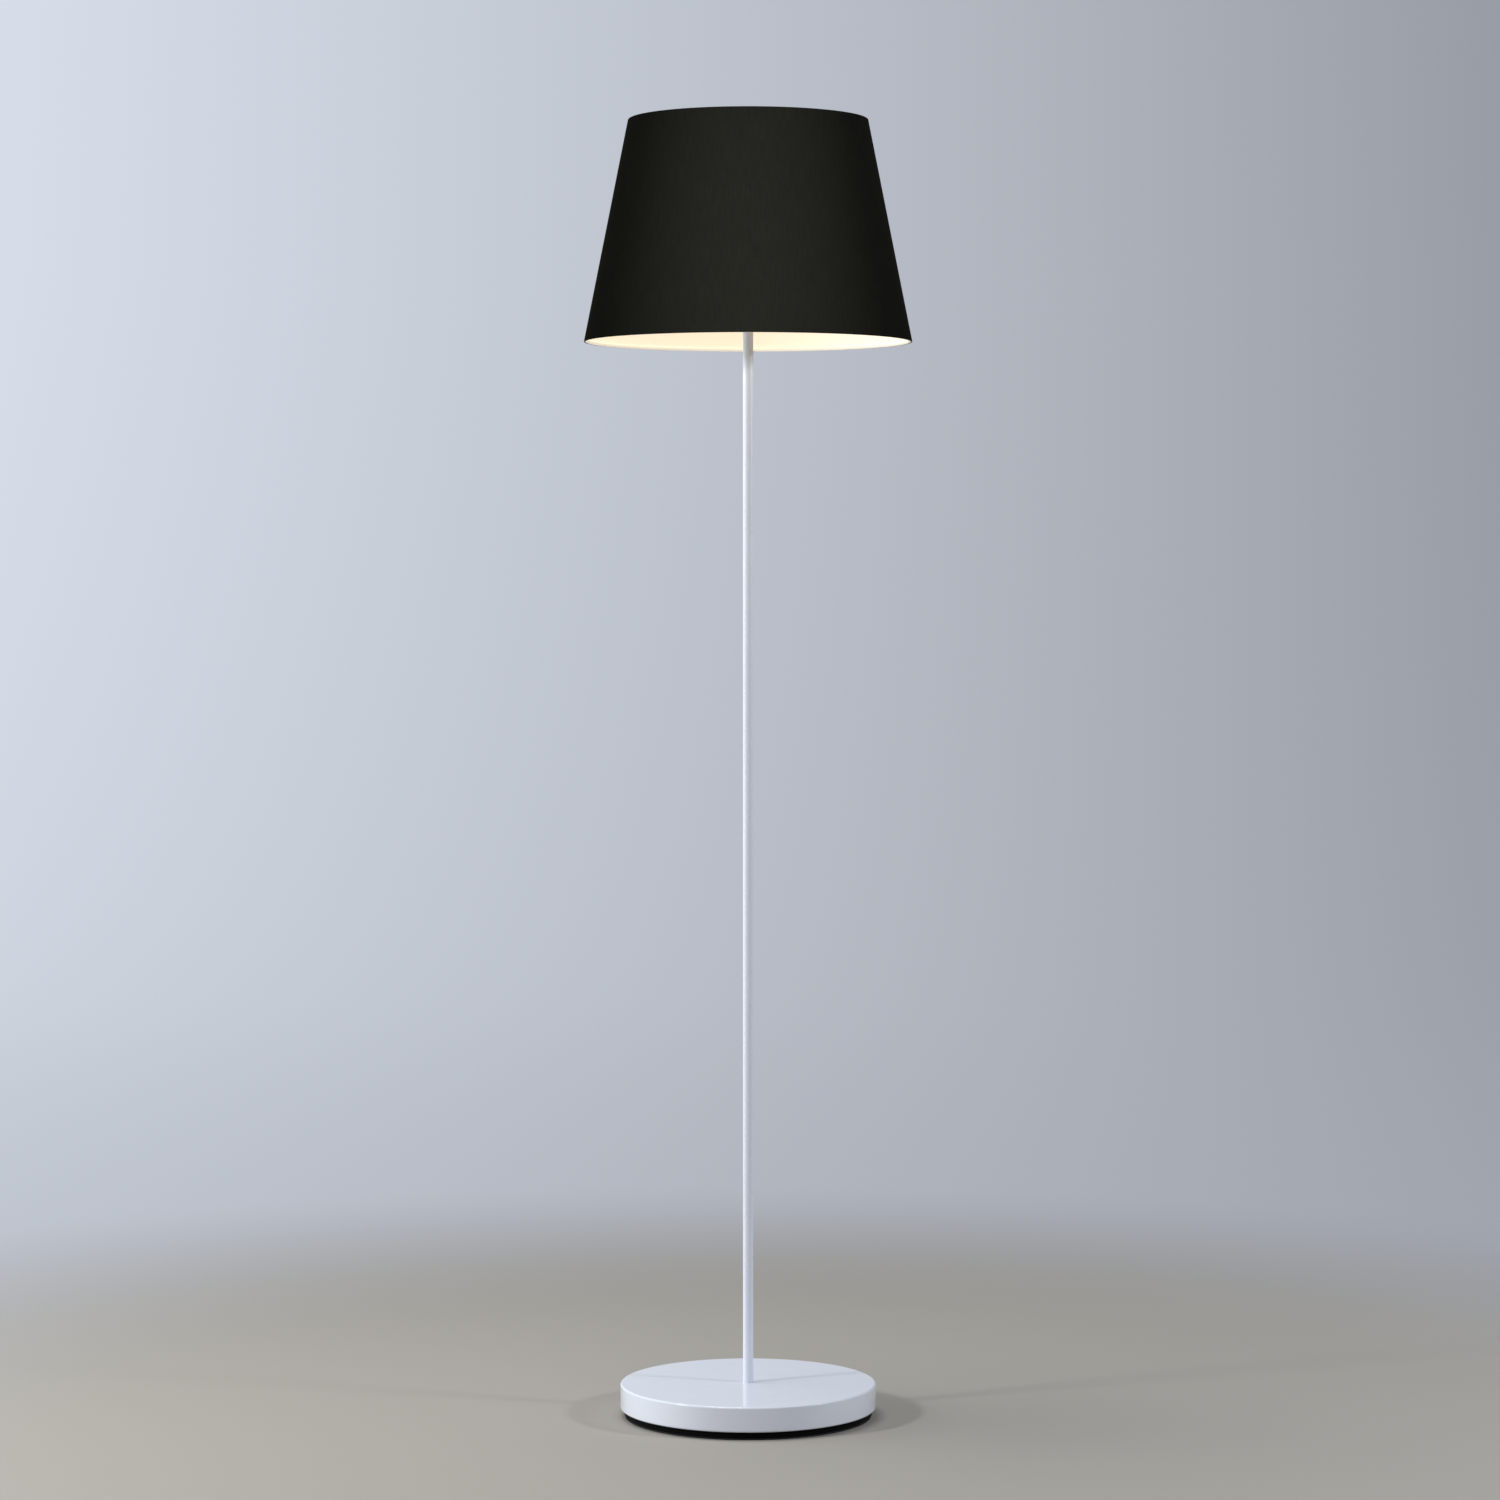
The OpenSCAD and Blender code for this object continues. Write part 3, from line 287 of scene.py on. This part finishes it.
paintLook = {"color": (0.757, 0.792, 0.885), "mottle": 0.006, "mottleSize": 60 * mm, "rough": 0.24,
             "roughSpread": 0.02, "grainSize": 1.1 * mm, "grainHeight": 0.003 * mm, "bump": 0.5,
             "grainDetail": 1.0,
             "sockets": {"Coat Weight": 0.8, "Coat Roughness": 0.015, "Specular IOR Level": 0.25}}
whitePaint = finishOf("whitePowderCoat", paintLook)
dress(whitePaint, "base_shell")
stemLook = {**paintLook, "rough": 0.38, "grainSize": 0.8 * mm,
            "sockets": {"Coat Weight": 0.25, "Coat Roughness": 0.12, "Specular IOR Level": 0.25}}
dress(finishOf("whiteStemCoat", stemLook), "stem_section_1", "stem_section_2", "stem_section_3",
      "stem_section_4")
wireLook = {**paintLook, "rough": 0.36, "roughSpread": 0.04, "grainSize": 1.6 * mm,
            "grainHeight": 0.02 * mm}
dress(finishOf("whiteDippedWire", wireLook), "shade_fitter", "shade_arms", "shade_top_ring",
      "shade_bottom_ring")

# Moulded plastics and foam

trayLook = {"color": (0.0025, 0.0025, 0.0028), "mottle": 0.12, "mottleSize": 25 * mm, "rough": 0.6,
            "roughSpread": 0.07, "grainSize": 0.45 * mm, "grainHeight": 0.05 * mm, "bump": 0.6,
            "sockets": {"Specular IOR Level": 0.05}}
dress(finishOf("blackMouldedPlastic", trayLook), "bottom_tray", "cable_bush")
foamLook = {"color": (0.022, 0.022, 0.024), "mottle": 0.2, "mottleSize": 8 * mm, "rough": 0.92,
            "roughSpread": 0.05, "grainSize": 0.7 * mm, "grainHeight": 0.18 * mm, "bump": 0.9,
            "sockets": {"Specular IOR Level": 0.25}}
dress(finishOf("closedCellFoam", foamLook), "foot_pad")
holderLook = {"color": (0.78, 0.775, 0.75), "mottle": 0.015, "mottleSize": 20 * mm, "rough": 0.33,
              "roughSpread": 0.05, "grainSize": 0.5 * mm, "grainHeight": 0.015 * mm, "bump": 0.3,
              "sockets": {"Subsurface Weight": 0.08, "Subsurface Radius": (0.004, 0.004, 0.003)}}
holderPlastic = finishOf("whiteHolderPlastic", holderLook)
dress(holderPlastic, "holder_cap", "holder_skirt", "shade_ring", "bulb_housing")

# Metals

zincLook = {"color": (0.60, 0.61, 0.62), "metal": 1.0, "mottle": 0.10, "mottleSize": 4 * mm, "rough": 0.34,
            "roughSpread": 0.10, "grainSize": 0.25 * mm, "grainHeight": 0.02 * mm, "bump": 0.4}
dress(finishOf("zincPlate", zincLook), "tray_screws", "base_nipple", "base_washer", "base_nut",
      "stem_nipple_1", "stem_nipple_2", "stem_nipple_3", "holder_nipple", "holder_grub_screw",
      "terminal_screws")
springLook = {**zincLook, "color": (0.30, 0.30, 0.31), "rough": 0.42}
dress(finishOf("springSteel", springLook), "base_lock_washer")
brassLook = {"color": (0.78, 0.57, 0.25), "metal": 1.0, "mottle": 0.08, "mottleSize": 6 * mm, "rough": 0.28,
             "roughSpread": 0.08, "grainSize": 0.3 * mm, "grainHeight": 0.012 * mm, "bump": 0.35}
brass = finishOf("pressedBrass", brassLook)
dress(brass, "weight_inserts", "holder_screw_shell", "holder_centre_contact", "holder_terminals")
nickelLook = {"color": (0.66, 0.64, 0.60), "metal": 1.0, "mottle": 0.05, "mottleSize": 7 * mm, "rough": 0.20,
              "roughSpread": 0.06, "grainSize": 0.4 * mm, "grainHeight": 0.01 * mm, "bump": 0.3}
nickel = finishOf("nickelPlate", nickelLook)
dress(nickel, "bulb_cap")
tinLook = {"color": (0.58, 0.58, 0.59), "metal": 1.0, "mottle": 0.12, "mottleSize": 2 * mm, "rough": 0.30,
           "roughSpread": 0.12, "grainSize": 1.1 * mm, "grainHeight": 0.12 * mm, "bump": 0.7}
dress(finishOf("tinnedSolder", tinLook), "bulb_contact")
pressLook = {"color": (0.80, 0.80, 0.81), "metal": 1.0, "mottle": 0.05, "mottleSize": 9 * mm, "rough": 0.38,
             "roughSpread": 0.06, "grainSize": 0.5 * mm, "grainHeight": 0.015 * mm, "bump": 0.4}
dress(finishOf("pressedAluminium", pressLook), "bulb_heat_spreader")

# Concrete, porcelain and the bulb's insulator

concreteLook = {"color": (0.36, 0.35, 0.33), "mottle": 0.22, "mottleSize": 14 * mm, "rough": 0.88,
                "roughSpread": 0.06, "grainSize": 1.8 * mm, "grainHeight": 0.5 * mm, "bump": 0.9,
                "grainDetail": 6.0}
dress(finishOf("castConcrete", concreteLook), "base_weight")
porcelainLook = {"color": (0.74, 0.71, 0.64), "mottle": 0.04, "mottleSize": 5 * mm, "rough": 0.62,
                 "roughSpread": 0.08, "grainSize": 0.4 * mm, "grainHeight": 0.04 * mm, "bump": 0.5}
dress(finishOf("unglazedPorcelain", porcelainLook), "holder_insert")
insulatorLook = {"color": (0.012, 0.011, 0.014), "mottle": 0.2, "mottleSize": 3 * mm, "rough": 0.16,
                 "roughSpread": 0.05, "grainSize": 1.5 * mm, "grainHeight": 0.04 * mm, "bump": 0.4}
dress(finishOf("blackPressedGlass", insulatorLook), "bulb_insulator")
print("frame parts painted")

# Circuit boards inside the bulb

boardLook = {"color": (0.72, 0.74, 0.72), "mottle": 0.03, "mottleSize": 4 * mm, "rough": 0.42,
             "roughSpread": 0.06, "grainSize": 0.3 * mm, "grainHeight": 0.02 * mm, "bump": 0.3,
             "chips": (0.88, 0.66, 0.10, 1), "chipsAbove": 0.25 * mm}


def ledBoardFinish(look):  # the chips stand above the board, and are yellow
    finish, tree, shader, coords = newFinish("ledBoard", look)
    chipZ = zSpan("bulb_led_board")[1] - look["chipsAbove"]
    height = addNode(tree, "SeparateXYZ", {0: coords}).outputs["Z"]
    onChip = calc(tree, "GREATER_THAN", height, chipZ)
    board = shader.inputs["Base Color"].links[0].from_socket
    tree.links.new(tint(tree, onChip, board, look["chips"]), shader.inputs["Base Color"])
    return finish


dress(ledBoardFinish(boardLook), "bulb_led_board")
driverLook = {**boardLook, "color": (0.03, 0.16, 0.07), "mottle": 0.2}
dress(finishOf("driverBoard", driverLook), "bulb_driver_board")

# The lit globe

globeLook = {"color": (0.64, 0.60, 0.52), "mottle": 0.01, "mottleSize": 20 * mm, "rough": 0.38,
             "roughSpread": 0.03, "grainSize": 0.6 * mm, "grainHeight": 0.01 * mm, "bump": 0.2,
             "sockets": {"Emission Color": (1.0, 0.80, 0.55, 1), "Emission Strength": 0.58}}
dress(finishOf("litOpalGlobe", globeLook), "bulb_globe")


# Shapes that the frame draws plain

def finishMesh(name, points, faces, finish, smoothDeg=40):
    mesh = bpy.data.meshes.new(name)
    mesh.from_pydata(points, [], faces)
    work = bmesh.new()
    work.from_mesh(mesh)
    bmesh.ops.recalc_face_normals(work, faces=work.faces)
    work.to_mesh(mesh)
    work.free()
    for face in mesh.polygons:
        face.use_smooth = True
    mesh.set_sharp_from_angle(angle=math.radians(smoothDeg))
    mesh.materials.append(finish)
    piece = bpy.data.objects.new(name, mesh)
    scene.collection.objects.link(piece)
    return piece


def turned(name, section, finish, columns=96, thread=None):
    # section is a closed list of (radius, height, share of the thread's depth)
    count = len(section)
    points = []
    for i in range(columns):
        turn = tau * i / columns
        for r, z, share in section:
            if share:
                phase = (z - thread["from"]) / thread["pitch"] - i / columns
                r -= share * thread["depth"] * threadWave(phase, thread["steep"])
            points.append((r * math.cos(turn), r * math.sin(turn), z))
    faces = []
    for i in range(columns):
        here, there = i * count, (i + 1) % columns * count
        for j in range(count):
            k = (j + 1) % count
            faces.append((here + j, there + j, there + k, here + k))
    return finishMesh(name, points, faces, finish)


def threadWave(phase, steep):  # 0 on the crest, 1 in the root
    wave = 0.5 - 0.5 * math.cos(tau * phase)
    return min(1.0, max(0.0, 0.5 + steep * (wave - 0.5)))


def threadedRows(r, zFrom, zTo, thread, runOut):  # rows up a threaded stretch, fading at both ends
    rows = []
    steps = max(2, round(abs(zTo - zFrom) / thread["pitch"] * thread["rows"]))
    for i in range(steps + 1):
        z = zFrom + (zTo - zFrom) * i / steps
        share = min(1.0, abs(z - zFrom) / runOut, abs(z - zTo) / runOut)
        rows.append((r, z, share))
    return rows


def arcRows(r, z, radius, fromDeg, toDeg, steps=4):
    rows = []
    for i in range(steps + 1):
        a = math.radians(fromDeg + (toDeg - fromDeg) * i / steps)
        rows.append((r + radius * math.cos(a), z + radius * math.sin(a), 0))
    return rows


# Base shell, with a slightly taller side and finer edges than its solid

shellShape = {"raised": 2.7 * mm, "lowered": 0.5 * mm, "wall": 1.2 * mm, "edge": 2.2 * mm,
              "edgeSteps": 8, "backSteps": 2, "hold": 0.5 * mm, "rings": (25 * mm, 60 * mm, 105 * mm),
              "stemGap": 0.05 * mm, "columns": 240}
bushHole = {"across": 10 * mm, "deep": 6 * mm, "segments": 48, "weld": 0.05 * mm, "sliver": 0.01 * mm}


def pressedShell(look):
    low, high = zSpan("base_shell")
    lip = heightRadii("base_shell", low)[0]
    low, high = low - look["lowered"], high + look["raised"]
    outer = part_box("base_shell")[1][0]
    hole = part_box("stem_section_1")[1][0] + look["stemGap"]
    bend = outer - look["edge"]
    back = look["edge"] - look["wall"]
    flatTo, sideFrom, sideTo = bend - look["hold"], low + look["edge"], high - look["edge"]
    section = [(lip, low, 0)] + arcRows(bend, sideFrom, look["edge"], -90, 0, look["edgeSteps"])
    section += [(outer, sideFrom + look["hold"], 0), (outer, sideTo - look["hold"], 0)]
    section += arcRows(bend, sideTo, look["edge"], 0, 90, look["edgeSteps"])
    section += [(r, high, 0) for r in (flatTo, *reversed(look["rings"]), hole)]
    section += [(r, high - look["wall"], 0) for r in (hole, *look["rings"], flatTo)]
    section += arcRows(bend, sideTo, back, 90, 0, look["backSteps"])
    section += arcRows(bend, sideFrom, back, 0, -90, look["backSteps"])
    section += [(lip, low + look["wall"], 0)]
    piece = turned("baseShellPressed", section, whitePaint, look["columns"])
    cutBushHole(piece, outer, bushHole)
    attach(piece, "stand")
    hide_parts("base_shell")


def cutBushHole(piece, outer, look):  # the cable's way in, through the rear of the side
    bushLow, bushHigh = zSpan("cable_bush")
    place = Matrix.Translation((0, outer, (bushLow + bushHigh) / 2)) @ Matrix.Rotation(math.pi / 2, 4, "X")
    radius = look["across"] / 2
    work = bmesh.new()
    bmesh.ops.create_cone(work, cap_ends=True, segments=look["segments"], radius1=radius, radius2=radius,
                          depth=look["deep"], matrix=place)
    mesh = bpy.data.meshes.new("bushCutter")
    work.to_mesh(mesh)
    work.free()
    cutter = bpy.data.objects.new("bushCutter", mesh)
    scene.collection.objects.link(cutter)
    cut = piece.modifiers.new("bushHole", "BOOLEAN")
    cut.operation = "DIFFERENCE"
    cut.object = cutter
    cut.solver = "EXACT"
    bpy.context.view_layer.update()
    solid = piece.evaluated_get(bpy.context.evaluated_depsgraph_get())
    piece.data = bpy.data.meshes.new_from_object(solid)
    piece.modifiers.clear()
    bpy.data.objects.remove(cutter)
    clearSlivers(piece.data, look)


def clearSlivers(mesh, look):  # a cut leaves points that nearly meet
    work = bmesh.new()
    work.from_mesh(mesh)
    bmesh.ops.remove_doubles(work, verts=work.verts, dist=look["weld"])
    bmesh.ops.dissolve_degenerate(work, edges=work.edges, dist=look["sliver"])
    bmesh.ops.triangulate(work, faces=[face for face in work.faces if len(face.verts) > 4])
    work.to_mesh(mesh)
    work.free()


pressedShell(shellShape)
print("base shell turned")

# Rolled thread of the bulb's cap and of the shell that it turns in, on one helix

capThread = {"pitch": 3.629 * mm, "depth": 0.85 * mm, "steep": 1.0, "rows": 10, "toe": 2.0 * mm,
             "sheet": 0.4 * mm, "collar": 4.5 * mm, "runOut": 1.2 * mm}
shellThread = {"sheet": 0.5 * mm, "edge": 0.6 * mm, "edgeFromDeg": -60, "edgeSteps": 2,
               "plainLow": 2.5 * mm, "plainHigh": 0.8 * mm, "runOut": 1.2 * mm}


def threadedCap(look):
    low, high = zSpan("bulb_cap")
    thread = {**look, "from": low}
    inner = heightRadii("bulb_cap", low)[0]
    r = heightRadii("bulb_cap", high)[1]
    threadLow, threadHigh = low + look["toe"], high - look["collar"]
    outside = arcRows(r - look["toe"], low + look["toe"], look["toe"], -90, 0)
    outside += threadedRows(r, threadLow, threadHigh, thread, look["runOut"])[1:]
    outside += [(r, high - look["collar"] / 2, 0), (r, high, 0)]
    back = r - look["sheet"]
    inside = [(back, high, 0), (back, high - look["collar"] / 2, 0)]
    inside += threadedRows(back, threadHigh, threadLow, thread, look["runOut"])[:-1]
    inside += arcRows(r - look["toe"], low + look["toe"], look["toe"] - look["sheet"], 0, -90)
    section = [(inner, low, 0)] + outside + inside + [(inner, low + look["sheet"], 0)]
    piece = turned("bulbCapThreaded", section, nickel, thread=thread)
    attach(piece, "bulb")
    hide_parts("bulb_cap")
    return thread


def threadedShell(look, thread):
    low, high = zSpan("holder_screw_shell")
    foot, outer = heightRadii("holder_screw_shell", low)
    sheet, edge = look["sheet"], look["edge"]
    inner = outer - sheet
    threadLow, threadHigh = low + look["plainLow"], high - look["plainHigh"]
    outside = [(outer - edge, low, 0)]
    outside += arcRows(outer - edge, low + edge, edge, look["edgeFromDeg"], 0, look["edgeSteps"])
    outside += threadedRows(outer, threadLow, threadHigh, thread, look["runOut"]) + [(outer, high, 0)]
    inside = [(inner, high, 0)] + threadedRows(inner, threadHigh, threadLow, thread, look["runOut"])
    inside += [(inner, low + sheet, 0), (foot, low + sheet, 0)]
    piece = turned("screwShellThreaded", [(foot, low, 0)] + outside + inside, brass, thread=thread)
    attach(piece, "stand")
    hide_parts("holder_screw_shell")


threadedShell(shellThread, threadedCap(capThread))

# Thread of the skirt, for the shade ring

skirtThread = {"pitch": 2.5 * mm, "depth": 0.75 * mm, "steep": 1.7, "rows": 14, "runOut": 1.0 * mm,
               "edge": 0.8 * mm, "mouthDeep": 2.5 * mm, "collarTall": 4 * mm, "flangeLowEdge": 0.6 * mm,
               "flangeHighEdge": 0.2 * mm, "plainLow": 0.3 * mm, "near": 0.1 * mm, "columns": 120}


def threadedSkirt(look):
    low, high = zSpan("holder_skirt")
    capTop = zSpan("holder_cap")[1]
    flangeLow, fitterZ = capTop + look["collarTall"], zSpan("shade_fitter")[0]
    bore, spigot = heightRadii("holder_skirt", low)
    mouth = heightRadii("holder_skirt", high)[0]
    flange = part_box("holder_skirt")[1][0]
    crest = heightRadii("holder_skirt", high - look["edge"], look["near"])[1]
    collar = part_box("holder_cap")[1][0]
    lowEdge, highEdge, edge = look["flangeLowEdge"], look["flangeHighEdge"], look["edge"]
    thread = {**look, "from": fitterZ}
    outside = [(spigot, low, 0), (spigot, capTop, 0), (collar, capTop, 0), (collar, flangeLow, 0)]
    outside += arcRows(flange - lowEdge, flangeLow + lowEdge, lowEdge, -90, 0)
    outside += arcRows(flange - highEdge, fitterZ - highEdge, highEdge, 0, 90) + [(crest, fitterZ, 0)]
    outside += threadedRows(crest, fitterZ + look["plainLow"], high - edge, thread, look["runOut"])
    outside += arcRows(crest - edge, high - edge, edge, 0, 90)[1:]
    inside = [(mouth, high, 0), (mouth, high - look["mouthDeep"], 0), (bore, high - look["mouthDeep"], 0),
              (bore, low, 0)]
    piece = turned("holderSkirtThreaded", outside + inside, holderPlastic, look["columns"], thread)
    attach(piece, "stand")
    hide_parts("holder_skirt")


threadedSkirt(skirtThread)
print("threads cut")

# Shade lining, with a painted glow that stands in for the bulb's light on it, stronger low than high

liningLook = {"color": (0.84, 0.79, 0.68), "mottle": 0.01, "mottleSize": 40 * mm, "rough": 0.42,
              "roughSpread": 0.04, "grainSize": 0.8 * mm, "grainHeight": 0.01 * mm, "bump": 0.3,
              "glow": (1.0, 0.83, 0.62, 1), "paintedGlowLow": 0.60, "paintedGlowHigh": 0.12}


def liningFinish(look):
    finish, tree, shader, coords = newFinish("warmLining", look)
    # painted glow: the lining emits light in place of the bulb's light, more at its lower edge than at its
    # upper one
    shader.inputs["Emission Color"].default_value = look["glow"]
    height = addNode(tree, "SeparateXYZ", {0: coords}).outputs["Z"]
    glow = spread(tree, height, look["paintedGlowLow"], look["paintedGlowHigh"], *zSpan("shade_liner"))
    tree.links.new(glow, shader.inputs["Emission Strength"])
    return finish


lining = liningFinish(liningLook)
dress(lining, "shade_liner")
# painted glow on the binding tapes: they emit light in place of the bulb's light, a little on the upper tape
# and more on the lower one
tapeLook = {"color": (0.66, 0.63, 0.55), "mottle": 0.04, "mottleSize": 5 * mm, "rough": 0.85,
            "roughSpread": 0.05, "grainSize": 0.5 * mm, "grainHeight": 0.12 * mm, "bump": 0.7,
            "sockets": {"Emission Color": (1.0, 0.90, 0.74, 1), "Emission Strength": 0.10,
                        "Sheen Weight": 0.3}}
dress(finishOf("bindingTape", tapeLook), "shade_top_tape")
paintedGlowTape = {**tapeLook, "sockets": {**tapeLook["sockets"], "Emission Strength": 0.5}}
dress(finishOf("bindingTapePaintedGlow", paintedGlowTape), "shade_bottom_tape")

# Black cotton cover

linerLow, linerHigh = zSpan("shade_liner")
linerInLow, linerOutLow = heightRadii("shade_liner", linerLow)
linerInHigh, linerOutHigh = heightRadii("shade_liner", linerHigh)
wallSlope = math.atan2(linerOutLow - linerOutHigh, linerHigh - linerLow)

coverLook = {"color": (0.0103, 0.0106, 0.0082), "mottle": 0.08, "mottleSize": 30 * mm, "rough": 0.8,
             "roughSpread": 0.05, "grainSize": 0.6 * mm, "grainHeight": 0.05 * mm, "bump": 0.4,
             "threads": 0.55 * mm, "weaveDepth": 0.10 * mm, "fuzz": 0.35, "slubSize": 1.4 * mm,
             "slubDetail": 2.0, "slubStretch": 0.06, "slubShare": 0.35, "slubPale": 1.9, "gapShadeShare": 0.6,
             "gapShadeDark": 0.35, "sockets": {"Specular IOR Level": 0.0}}


def coverFinish(look):  # the weave is straight in the flat sheet that the cone is rolled from
    finish, tree, shader, coords = newFinish("blackCottonWeave", look)
    apexZ = linerLow + linerOutLow / math.tan(wallSlope)
    place = addNode(tree, "SeparateXYZ", {0: coords})
    turn = calc(tree, "ARCTAN2", place.outputs["X"], calc(tree, "MULTIPLY", place.outputs["Y"], -1.0))
    flatTurn = calc(tree, "MULTIPLY", turn, math.sin(wallSlope))
    slant = calc(tree, "DIVIDE", calc(tree, "SUBTRACT", apexZ, place.outputs["Z"]), math.cos(wallSlope))
    acrossM = calc(tree, "MULTIPLY", slant, calc(tree, "SINE", flatTurn))
    alongM = calc(tree, "MULTIPLY", slant, calc(tree, "COSINE", flatTurn))
    across = calc(tree, "SINE", calc(tree, "MULTIPLY", acrossM, math.pi / look["threads"]))
    along = calc(tree, "SINE", calc(tree, "MULTIPLY", alongM, math.pi / look["threads"]))
    over = calc(tree, "GREATER_THAN", calc(tree, "MULTIPLY", across, along), 0.0)
    under = calc(tree, "SUBTRACT", 1.0, over)
    warp = calc(tree, "MULTIPLY", calc(tree, "ABSOLUTE", across), over)
    weft = calc(tree, "MULTIPLY", calc(tree, "ABSOLUTE", along), under)
    threadsHigh = calc(tree, "ADD", warp, weft)
    grain = shader.inputs["Normal"].links[0].from_node
    fuzz = grain.inputs["Height"].links[0].from_socket
    height = calc(tree, "ADD", threadsHigh, calc(tree, "MULTIPLY", fuzz, look["fuzz"]))
    tree.links.new(height, grain.inputs["Height"])
    grain.inputs["Distance"].default_value = look["weaveDepth"]
    slubAlong = calc(tree, "MULTIPLY", alongM, look["slubStretch"])
    slubPlace = addNode(tree, "CombineXYZ", {0: acrossM, 1: slubAlong})
    slub = speckles(tree, slubPlace.outputs[0], look["slubSize"], look["slubDetail"])
    base = shader.inputs["Base Color"].links[0].from_socket
    streak = tint(tree, spread(tree, slub, 0.0, look["slubShare"]), base,
                  shade(look["color"], look["slubPale"]))
    # painted shade: the colour darkens where the threads sink, in the gaps between them
    gapShade = calc(tree, "MULTIPLY", calc(tree, "SUBTRACT", 1.0, threadsHigh), look["gapShadeShare"])
    tree.links.new(tint(tree, gapShade, streak, shade(look["color"], look["gapShadeDark"])),
                   shader.inputs["Base Color"])
    return finish


coverCloth = coverFinish(coverLook)

# Cover rolled from one flat sheet, lapped at the rear and turned in over both edges of the lining

coverShape = {"inner": 0.04 * mm, "outer": 0.62 * mm, "lapStep": 0.60 * mm, "lap": 10 * mm,
              "ramp": 4 * mm, "columnDeg": 2.0, "rows": 10, "edgeSteps": 4, "lapSteps": 4,
              "wave": 0.06 * mm, "waveSize": 0.07, "smoothDeg": 50}


def edgeArc(r, z, distance, fromTurn, toTurn, steps):
    turns = [fromTurn + (toTurn - fromTurn) * i / steps for i in range(steps + 1)]
    return [(r + distance * math.cos(a), z + distance * math.sin(a)) for a in turns]


def coverWave(look, turn, z):  # the cloth is a little uneven round the shade
    spot = Vector((math.cos(turn), math.sin(turn), 0)) * linerOutLow / look["waveSize"]
    return look["wave"] * noise.noise(spot + Vector((0, 0, z / look["waveSize"])))


def coverSection(look, distance, turn, uneven):  # round the lining, from its lower edge to its upper one
    rows = [(linerInLow, linerLow - distance)]
    rows += edgeArc(linerOutLow, linerLow, distance, -math.pi / 2, wallSlope, look["edgeSteps"])
    for i in range(1, look["rows"]):
        t = i / look["rows"]
        r, z = linerOutLow + (linerOutHigh - linerOutLow) * t, linerLow + (linerHigh - linerLow) * t
        reach = distance + uneven * coverWave(look, turn, z) * math.sin(math.pi * t)
        rows.append((r + reach * math.cos(wallSlope), z + reach * math.sin(wallSlope)))
    rows += edgeArc(linerOutHigh, linerHigh, distance, wallSlope, math.pi / 2, look["edgeSteps"])
    rows.append((linerInHigh, linerHigh + distance))
    return rows


def rolledCover(look):
    lapTurn = look["lap"] / ((linerOutLow + linerOutHigh) / 2)
    rampTurn = look["ramp"] / look["lap"] * lapTurn
    start = math.pi / 2 - lapTurn / 2
    columns, lapSteps = round(360 / look["columnDeg"]), look["lapSteps"]
    turns = [start + (tau - rampTurn) * i / columns for i in range(columns)]
    turns += [start + tau - rampTurn + rampTurn * i / lapSteps for i in range(lapSteps)]
    turns += [start + tau + lapTurn * i / lapSteps for i in range(lapSteps + 1)]
    points = []
    for turn in turns:
        past = (turn - start - tau + rampTurn) / rampTurn
        lift = look["lapStep"] * min(1.0, max(0.0, past))
        outer = coverSection(look, look["outer"] + lift, turn, 1.0)
        inner = coverSection(look, look["inner"] + lift, turn, 0.0)
        points += [(r * math.cos(turn), r * math.sin(turn), z) for r, z in outer + inner[::-1]]
    count = len(points) // len(turns)
    faces = []
    for i in range(len(turns) - 1):
        here, there = i * count, (i + 1) * count
        for j in range(count):
            k = (j + 1) % count
            faces.append((here + j, there + j, there + k, here + k))
    for at in (0, (len(turns) - 1) * count):  # close both ends of the sheet with a strip of quads
        for j in range(count // 2 - 1):
            faces.append((at + j, at + j + 1, at + count - 2 - j, at + count - 1 - j))
    piece = finishMesh("coverCloth", points, faces, coverCloth, look["smoothDeg"])
    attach(piece, "shade")
    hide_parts("shade_fabric")
    return piece


coverPiece = rolledCover(coverShape)

for lamp in coverLamps:
    linkLight(lamp, [coverPiece], "INCLUDE")
for lamp in roomLamps:
    linkLight(lamp, [coverPiece], "EXCLUDE")

# Lap of the lining, on its inner face at the rear

liningLap = {"wide": 9 * mm, "thick": 0.45 * mm, "edge": 0.25 * mm, "sunk": 0.05 * mm,
             "clear": 3.6 * mm, "rows": 6, "smoothDeg": 30}


def lapStrip(look):
    points = []
    zLow, zHigh = linerLow + look["clear"], linerHigh - look["clear"]
    thick, sunk = look["thick"], -look["sunk"]
    for i in range(look["rows"] + 1):
        z = zLow + (zHigh - zLow) * i / look["rows"]
        r = linerInLow + (linerInHigh - linerInLow) * (z - linerLow) / (linerHigh - linerLow)
        half, taper = look["wide"] / 2 / r, look["edge"] / r
        ring = ((-half, 0), (-half + taper, thick), (0, thick), (half - taper, thick),
                (half, 0), (half * 0.5, sunk), (0, sunk), (-half * 0.5, sunk))
        for turn, depth in ring:
            a = math.pi / 2 + turn
            points.append(((r - depth) * math.cos(a), (r - depth) * math.sin(a), z))
    count = len(ring)
    faces = []
    for i in range(look["rows"]):
        for j in range(count):
            k = (j + 1) % count
            faces.append((i * count + j, (i + 1) * count + j, (i + 1) * count + k, i * count + k))
    for at in (0, look["rows"] * count):
        faces += [(at, at + 1, at + 7), (at + 1, at + 2, at + 6, at + 7), (at + 2, at + 3, at + 5, at + 6),
                  (at + 3, at + 4, at + 5)]
    piece = finishMesh("liningLap", points, faces, lining, look["smoothDeg"])
    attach(piece, "shade")


lapStrip(liningLap)

# The stem's top stays as cool as the rest of it
for source in ("shade_liner", "shade_bottom_tape", "shade_top_tape", "bulb_globe"):
    linkLight(cadNodes[source], [cadNodes["stem_section_4"]], "EXCLUDE")
print("lamp shade dressed")
